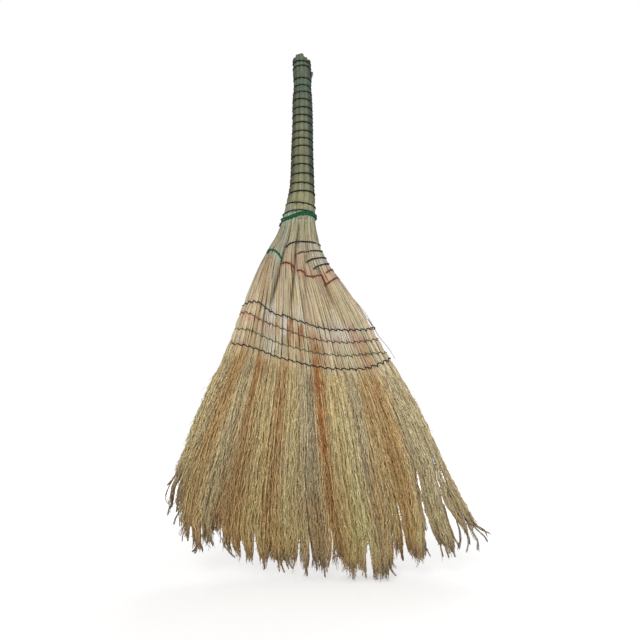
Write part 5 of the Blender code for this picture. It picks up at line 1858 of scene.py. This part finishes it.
# The sewn rows, from the top down: colour, thickness, and pixels, left to right.
ROWS = (
    ("navy", 1.02, (
        (244.7, 304.7), (253.3, 300.7), (260.2, 302.4), (265.9, 307.6), (277.4, 315.0), (285.4, 315.0),
        (293.5, 319.0), (307.3, 323.1), (314.1, 325.9), (329.1, 329.4), (349.7, 329.9), (367.0, 329.4),
        (375.0, 328.2),
    )),
    ("red", 0.9, (
        (241.2, 313.3), (245.3, 311.6), (253.3, 314.4), (260.2, 319.6), (276.3, 325.9), (288.9, 330.5),
        (306.1, 336.8), (325.6, 340.8), (346.3, 342.6), (367.0, 340.8), (379.6, 339.1),
    )),
    ("green", 0.75, (
        (236.1, 327.6), (249.9, 329.4), (263.6, 336.3), (279.7, 343.1), (302.7, 349.5), (321.0, 353.5),
        (346.3, 355.8), (369.3, 353.5), (387.5, 352.9),
    )),
    ("navy", 1.02, (
        (229.8, 342.6), (245.3, 344.9), (261.3, 350.0), (277.4, 356.9), (295.8, 361.5), (311.8, 365.5),
        (330.2, 368.4), (353.2, 369.0), (364.6, 368.4), (373.8, 366.1), (383.0, 362.1), (391.0, 358.2),
    )),
)
# Their ends on the front and behind, and how the rows behind are read.
ROW_FRONT = (0.004, 0.496)
ROW_BEHIND = (0.504, 0.996)
ROW_BEHIND_SPOTS = 40
ROW_READ_HEIGHT = 0.33
# Stitches, in widths of a group of stems: how near a row's end the last lies, where the heights beside
# one are read, and its half width.
STITCH_END = 0.3
STITCH_BESIDE = 0.55
STITCH_HALF = 0.16
# How far the thread steps up and down there, and how deep it lies, in radii.
STITCH_STEP = 0.0016
STITCH_AFTER = 0.7
STITCH_RISE = 0.0001
STITCH_SIDE = -0.8
STITCH_SUNK = 0.6
STITCH_OVER = -0.9
# The knot at the right end of the top row.
KNOT = (
    (371.6, 328.6), (373.2, 326.9), (375.0, 328.0), (374.2, 329.6), (372.4, 328.2), (373.8, 327.2),
    (375.2, 328.8),
)
KNOT_DEPTH = -0.0025


def stitched(shares, heights, radius):
    """Spots of a thread over the groups of stems: level over each, then a step down and in between two."""
    spots = [(shares[0], heights[0], -radius)]
    first = math.ceil(shares[0] * GROUPS_ROUND + STITCH_END)
    last = math.floor(shares[-1] * GROUPS_ROUND - STITCH_END)
    for group in range(first, last + 1):
        before, middle, after = (
            np.interp((group + off) / GROUPS_ROUND, shares, heights)
            for off in (-STITCH_BESIDE, 0.0, STITCH_BESIDE)
        )
        above = between(middle, before, 0.5) - STITCH_STEP
        below = between(middle, after, 0.5) + STITCH_STEP * STITCH_AFTER
        for off, height, depth in (
            (-STITCH_HALF, above, STITCH_SIDE),
            (0.0, middle, STITCH_SUNK),
            (STITCH_HALF, below, STITCH_SIDE),
            (0.5, after + STITCH_RISE, STITCH_OVER),
        ):
            spots.append(((group + off) / GROUPS_ROUND, height, radius * depth))
    spots.append((shares[-1], heights[-1], -radius))
    return spots


def placed_strand(pixels, depth):
    """Points through pixels of the picture at a depth behind the axis."""
    return [seen_at_depth(px, py, AXIS_Y + depth) for px, py in pixels]


def add_rows():
    for row, (colour, scale, pixels) in enumerate(ROWS):
        shares, heights, _ = np.array(front_route(pixels, 0.0)).T
        shares[[0, -1]] = ROW_FRONT
        radius = THREAD_RADIUS * scale
        spots = stitched(shares, heights, radius)
        shares = np.linspace(*ROW_BEHIND, ROW_BEHIND_SPOTS)
        level = np.full(ROW_BEHIND_SPOTS, ROW_READ_HEIGHT)
        behind = row_height(row, across_of(outline.read(shares, level)[..., 0], level))
        behind[[0, -1]] = heights[[-1, 0]]
        spots += stitched(shares, behind, radius)
        name = f"row_thread_{row + 1}"
        mesh = twine_mesh(name, on_stems(spots), radius, closed=True, sides=THREAD_SIDES)
        add_piece(name, mesh, twines[f"{colour} thread"], [f"sewn_row_{row + 1}"])

    mesh = twine_mesh("row_knot", placed_strand(KNOT, KNOT_DEPTH), THREAD_RADIUS, sides=THREAD_SIDES)
    add_piece("row_knot", mesh, twines["navy thread"])


# A broken side shoot on the handle.
SPUR = ((309.6, 80.0), (311.4, 77.5), (312.0, 74.6), (311.8, 72.2))
SPUR_DEPTH = -0.004
SPUR_RADIUS = 0.0016
SPUR_STEP = 0.0006
SPUR_SIDES = 9
SPUR_BULGE = 0.2
SPUR_BULGE_PHASE = 9
SPUR_GIRTHS = (0.7, 1.0)
SPUR_SHADE = 1.1
# Thin stems that have come loose at the right edge.
LOOSE_STEMS = (
    ((350.0, 295.0), (357.3, 303.5), (362.6, 309.8), (368.2, 317.5), (373.6, 326.8)),
    (
        (368.0, 319.0), (373.6, 327.6), (378.0, 335.0), (382.4, 340.8), (387.6, 347.0), (391.4, 352.6),
        (395.0, 358.8),
    ),
    ((343.0, 287.0), (352.0, 297.5), (358.6, 306.0), (365.4, 316.0), (372.0, 326.0)),
)
LOOSE_RADIUS = 0.00050
LOOSE_DEPTH = -0.002
LOOSE_SPACING = 0.001
LOOSE_GIRTHS = (1.1, 0.6)
LOOSE_SHADE = 0.6
LOOSE_SIDES = 5
STRAND_STEP = 0.003
# Wisps of fibres at the brush's edges and tips.
WISPS = (
    ((179, 470), (172, 481), (168.8, 487), (165.5, 495), (166, 501), (169, 505), (168.5, 513.5)),
    ((180, 471), (175, 480), (172, 488), (171.5, 497), (172.5, 504), (170, 508), (167.8, 515)),
    ((182, 470), (178, 479), (173.5, 490), (172, 500), (171, 507)),
    ((178, 472), (172, 480), (167, 485.5)),
    ((181, 470), (176, 480), (174.5, 490), (173, 500), (171, 506)),
    ((183, 476), (179, 486), (177, 495), (175.5, 503)),
    ((180, 474), (175, 484), (171, 494), (169.5, 503)),
    ((184, 484), (180, 494), (178, 505), (176.5, 512)),
    ((182, 480), (178, 495), (177.5, 505), (179, 512), (176, 518), (174.4, 524)),
    ((184, 490), (180, 505), (180, 515), (181, 526)), ((188, 522), (186, 530), (183, 534), (182, 541)),
    ((187, 526), (188, 541)), ((198, 536), (197, 543), (195, 549), (192, 552)),
    ((199, 538), (198, 545), (196, 550), (194.5, 553.5)),
    ((199, 536), (200, 543), (202, 548), (202.5, 552)),
    ((209, 530), (211, 538), (212.5, 544), (213, 546)),
    ((222, 538), (224, 545), (229, 552), (235, 557.5)),
    ((261, 552), (263, 560), (264.5, 567), (264, 570)), ((277, 554), (278, 562), (279.5, 571.5)),
    ((280, 555), (281, 563), (284.5, 572.5)), ((284, 554), (286, 562), (288.5, 569)),
    ((288, 555), (289, 563), (293, 569)), ((305.5, 552), (306, 562), (306.8, 576)),
    ((315, 555), (316, 563), (317, 571)), ((323, 558), (324, 566), (325.3, 576.5)),
    ((351, 556), (352, 566), (353.3, 579)), ((362, 556), (364, 566), (366, 578)),
    ((375, 560), (376, 572), (377.6, 580)), ((384, 560), (385, 570), (386.5, 578)),
    ((387, 552), (389, 563), (393, 572), (396, 575)), ((390, 552), (392, 562), (395.5, 568)),
    ((401, 542), (402, 552), (403, 561)),
    ((419, 530), (421, 540), (424, 546), (427.5, 552), (429.5, 556)),
    ((420, 522), (422, 532), (426, 545), (425.5, 554)), ((420, 536), (423, 545), (428, 550)),
    ((421, 508), (424, 520), (426.5, 527), (427.5, 530)),
    ((443, 532), (441, 541), (440.5, 548), (443, 556)), ((445, 534), (445, 545), (449, 558)),
    ((450, 538), (452, 548), (455, 557)),
    ((443, 504), (446, 514), (450, 526), (454, 537), (459, 546), (458, 549)),
    ((458, 508), (456, 519), (459, 529), (460, 538), (458.5, 548)),
    ((461, 518), (464, 528), (468, 536), (468.5, 543), (466.8, 551.5)),
    ((463, 520), (466, 530), (469.5, 540), (470.5, 544)),
    ((466, 518), (470, 528), (475, 536), (477.5, 541), (477.5, 550.5)),
    ((467, 516), (472, 525), (478, 531), (484, 536.5), (487, 541.5)),
    ((468, 515), (473, 524), (481, 529.5), (489.5, 533.5)),
    ((468, 514), (474, 523), (480, 527), (484.5, 530), (487, 535.5)),
    ((467, 520), (471, 530), (474, 537), (477, 540)),
)
WISP_FIBRES = 5
WISP_SPREAD = 0.0006
WISP_GATHER = (1.0, 0.35)
WISP_WANDER = 0.35
WISP_RADII = (0.00060, 0.00042)
WISP_SHADES = (0.75, 0.36)
WISP_DEPTH = -0.010


def add_extras():
    """A broken side shoot on the handle, wisps of fibres, and thin loose stems at the right edge."""
    chance = np.random.default_rng(SEED + 3)
    path = smooth_path(placed_strand(SPUR, SPUR_DEPTH), SPUR_STEP)
    bulge = 1 + SPUR_BULGE * np.sin(np.linspace(0, SPUR_BULGE_PHASE, len(path)))
    radii = SPUR_RADIUS * bulge * np.linspace(*SPUR_GIRTHS, len(path))
    colours = np.repeat((CULM_GREEN * SPUR_SHADE)[None, None], len(path), axis=1)
    arrays = tubes(path[None], radii[None], SPUR_SIDES, colours, chance)
    add_piece("culm_spur", make_mesh("culm_spur", *arrays), culm_straw)

    parts = []
    for pixels in WISPS:
        path = smooth_path(placed_strand(pixels, WISP_DEPTH), STRAND_STEP)
        steps = len(path)
        gather = np.linspace(*WISP_GATHER, steps)[None, :, None]
        away = chance.normal(0, WISP_SPREAD, (WISP_FIBRES, 1, 3)) * gather
        wander = chance.normal(0, WISP_SPREAD * WISP_WANDER, (WISP_FIBRES, steps, 3))
        paths = path[None] + away + np.cumsum(wander, axis=1)
        paths[..., 2] = np.maximum(paths[..., 2], FLOOR_GAP)
        radii = np.tile(np.linspace(*WISP_RADII, steps), (WISP_FIBRES, 1))
        colours = pick(chance, WISP_FIBRES, ((BRUSH_GREY, 3), (BRUSH_BROWN, 2), (BRUSH_TAN, 1)))
        colours = colours[:, None, :] * np.linspace(*WISP_SHADES, steps)[:, None]
        parts.append(tubes(paths, radii, FIBRE_SIDES, colours, chance))
    mesh = make_mesh("edge_wisps", *join_arrays(parts))
    add_piece("edge_wisps", mesh, brush_straw)

    parts = []
    for number, pixels in enumerate(LOOSE_STEMS):
        path = smooth_path(placed_strand(pixels, LOOSE_DEPTH - LOOSE_SPACING * number), STRAND_STEP)
        radii = LOOSE_RADIUS * np.linspace(*LOOSE_GIRTHS, len(path))
        colours = np.repeat((BROWN * LOOSE_SHADE)[None, None], len(path), axis=1)
        parts.append(tubes(path[None], radii[None], LOOSE_SIDES, colours, chance))
    mesh = make_mesh("loose_stems", *join_arrays(parts))
    add_piece("loose_stems", mesh, stem_straw)


# Stage: the floor's size, its glow in the camera's eye near and far, and its faint clouds.
FLOOR_SIZE = 12.0
FLOOR_NEAR = 0.35
FLOOR_FAR = 1.3
FLOOR_GLOW_NEAR = 0.44
FLOOR_GLOW_FAR = 0.75
CLOUD_SCALE = 3.0
CLOUD_DARK = (0.3, 0.79)
CLOUD_PALE = (0.7, 0.81)
FLOOR_ROUGHNESS = 0.9
# The world's light on the object, which is less than what the camera sees of it.
AMBIENT = 0.41
WHITE = (1.0, 1.0, 1.0, 1.0)
# Lamps: name, place, power and size. All aim at one spot.
LAMPS = (
    ("key", (-0.4, -2.2, 1.2), 26.5, 1.0),
    ("fill", (1.3, -1.3, 0.9), 6.5, 1.6),
    ("back", (0.5, 1.8, 1.5), 15.0, 1.6),
)
LAMP_AIM = np.array((0.0, 0.0, 0.35))
SENSOR_WIDTH = 36.0
CLIP_START = 0.01
CLIP_END = 50.0


def add_floor():
    mesh = bpy.data.meshes.new("floor")
    half = FLOOR_SIZE / 2
    corners = [(-half, -half, 0), (half, -half, 0), (half, half, 0), (-half, half, 0)]
    mesh.from_pydata(corners, [], [(0, 1, 2, 3)])
    floor = add_linked("floor", mesh)
    shader = Shader("pale floor")
    glow = shader.add("ShaderNodeEmission")
    seen = shader.add("ShaderNodeLightPath").outputs["Is Camera Ray"]
    place = shader.add("ShaderNodeNewGeometry").outputs["Position"]
    away = shader.add("ShaderNodeVectorMath", {"operation": "LENGTH"}, Vector=place).outputs["Value"]
    level = shader.add("ShaderNodeMapRange", {"interpolation_type": "SMOOTHSTEP"}, Value=away)
    for socket, value in (
        ("From Min", FLOOR_NEAR), ("From Max", FLOOR_FAR),
        ("To Min", FLOOR_GLOW_NEAR), ("To Max", FLOOR_GLOW_FAR),
    ):
        level.inputs[socket].default_value = value
    shader.set(glow, "Strength", shader.math("MULTIPLY", seen, level.outputs["Result"]))
    cloud = shader.ramp(shader.noise(place, CLOUD_SCALE), CLOUD_DARK, CLOUD_PALE)
    shader.finish(cloud, FLOOR_ROUGHNESS, Specular_IOR_Level=0.0)
    both = shader.add("ShaderNodeAddShader")
    shader.set(both, "0", shader.surface.outputs[0])
    shader.set(both, "1", glow.outputs[0])
    shader.links.new(both.outputs[0], shader.nodes["Material Output"].inputs["Surface"])
    mesh.materials.append(shader.material)


def add_world():
    world = bpy.data.worlds.new("studio")
    world.use_nodes = True
    nodes = world.node_tree.nodes
    links = world.node_tree.links
    path = nodes.new("ShaderNodeLightPath")
    level = nodes.new("ShaderNodeMapRange")
    level.inputs["To Min"].default_value = AMBIENT
    level.inputs["To Max"].default_value = 1.0
    links.new(path.outputs["Is Camera Ray"], level.inputs["Value"])
    nodes["Background"].inputs["Color"].default_value = WHITE
    links.new(level.outputs[0], nodes["Background"].inputs["Strength"])
    bpy.context.scene.world = world


def add_lamps():
    for name, place, power, size in LAMPS:
        lamp = bpy.data.lights.new(name, "AREA")
        lamp.energy = power
        lamp.size = size
        placed = add_linked(name, lamp)
        placed.location = place
        aim = LAMP_AIM - np.array(place)
        yaw = math.atan2(aim[1], aim[0]) - math.pi / 2
        pitch = math.atan2(math.hypot(aim[0], aim[1]), -aim[2])
        placed.rotation_euler = (pitch, 0.0, yaw)


def add_camera():
    camera = bpy.data.cameras.new("camera")
    camera.sensor_width = SENSOR_WIDTH
    camera.lens = SENSOR_WIDTH * FOCAL / PICTURE
    camera.clip_start = CLIP_START
    camera.clip_end = CLIP_END
    placed = add_linked("camera", camera)
    placed.location = CAMERA_PLACE
    placed.rotation_euler = (math.radians(90) + CAMERA_TILT, 0.0, 0.0)
    bpy.context.scene.camera = placed
    bpy.context.scene.view_settings.view_transform = "Standard"


add_camera()
add_floor()
add_world()
add_lamps()
add_culms()
add_winding()
add_collar()
add_stems()
add_wraps()
add_rows()
add_extras()
add_brush()

bpy.context.view_layer.update()
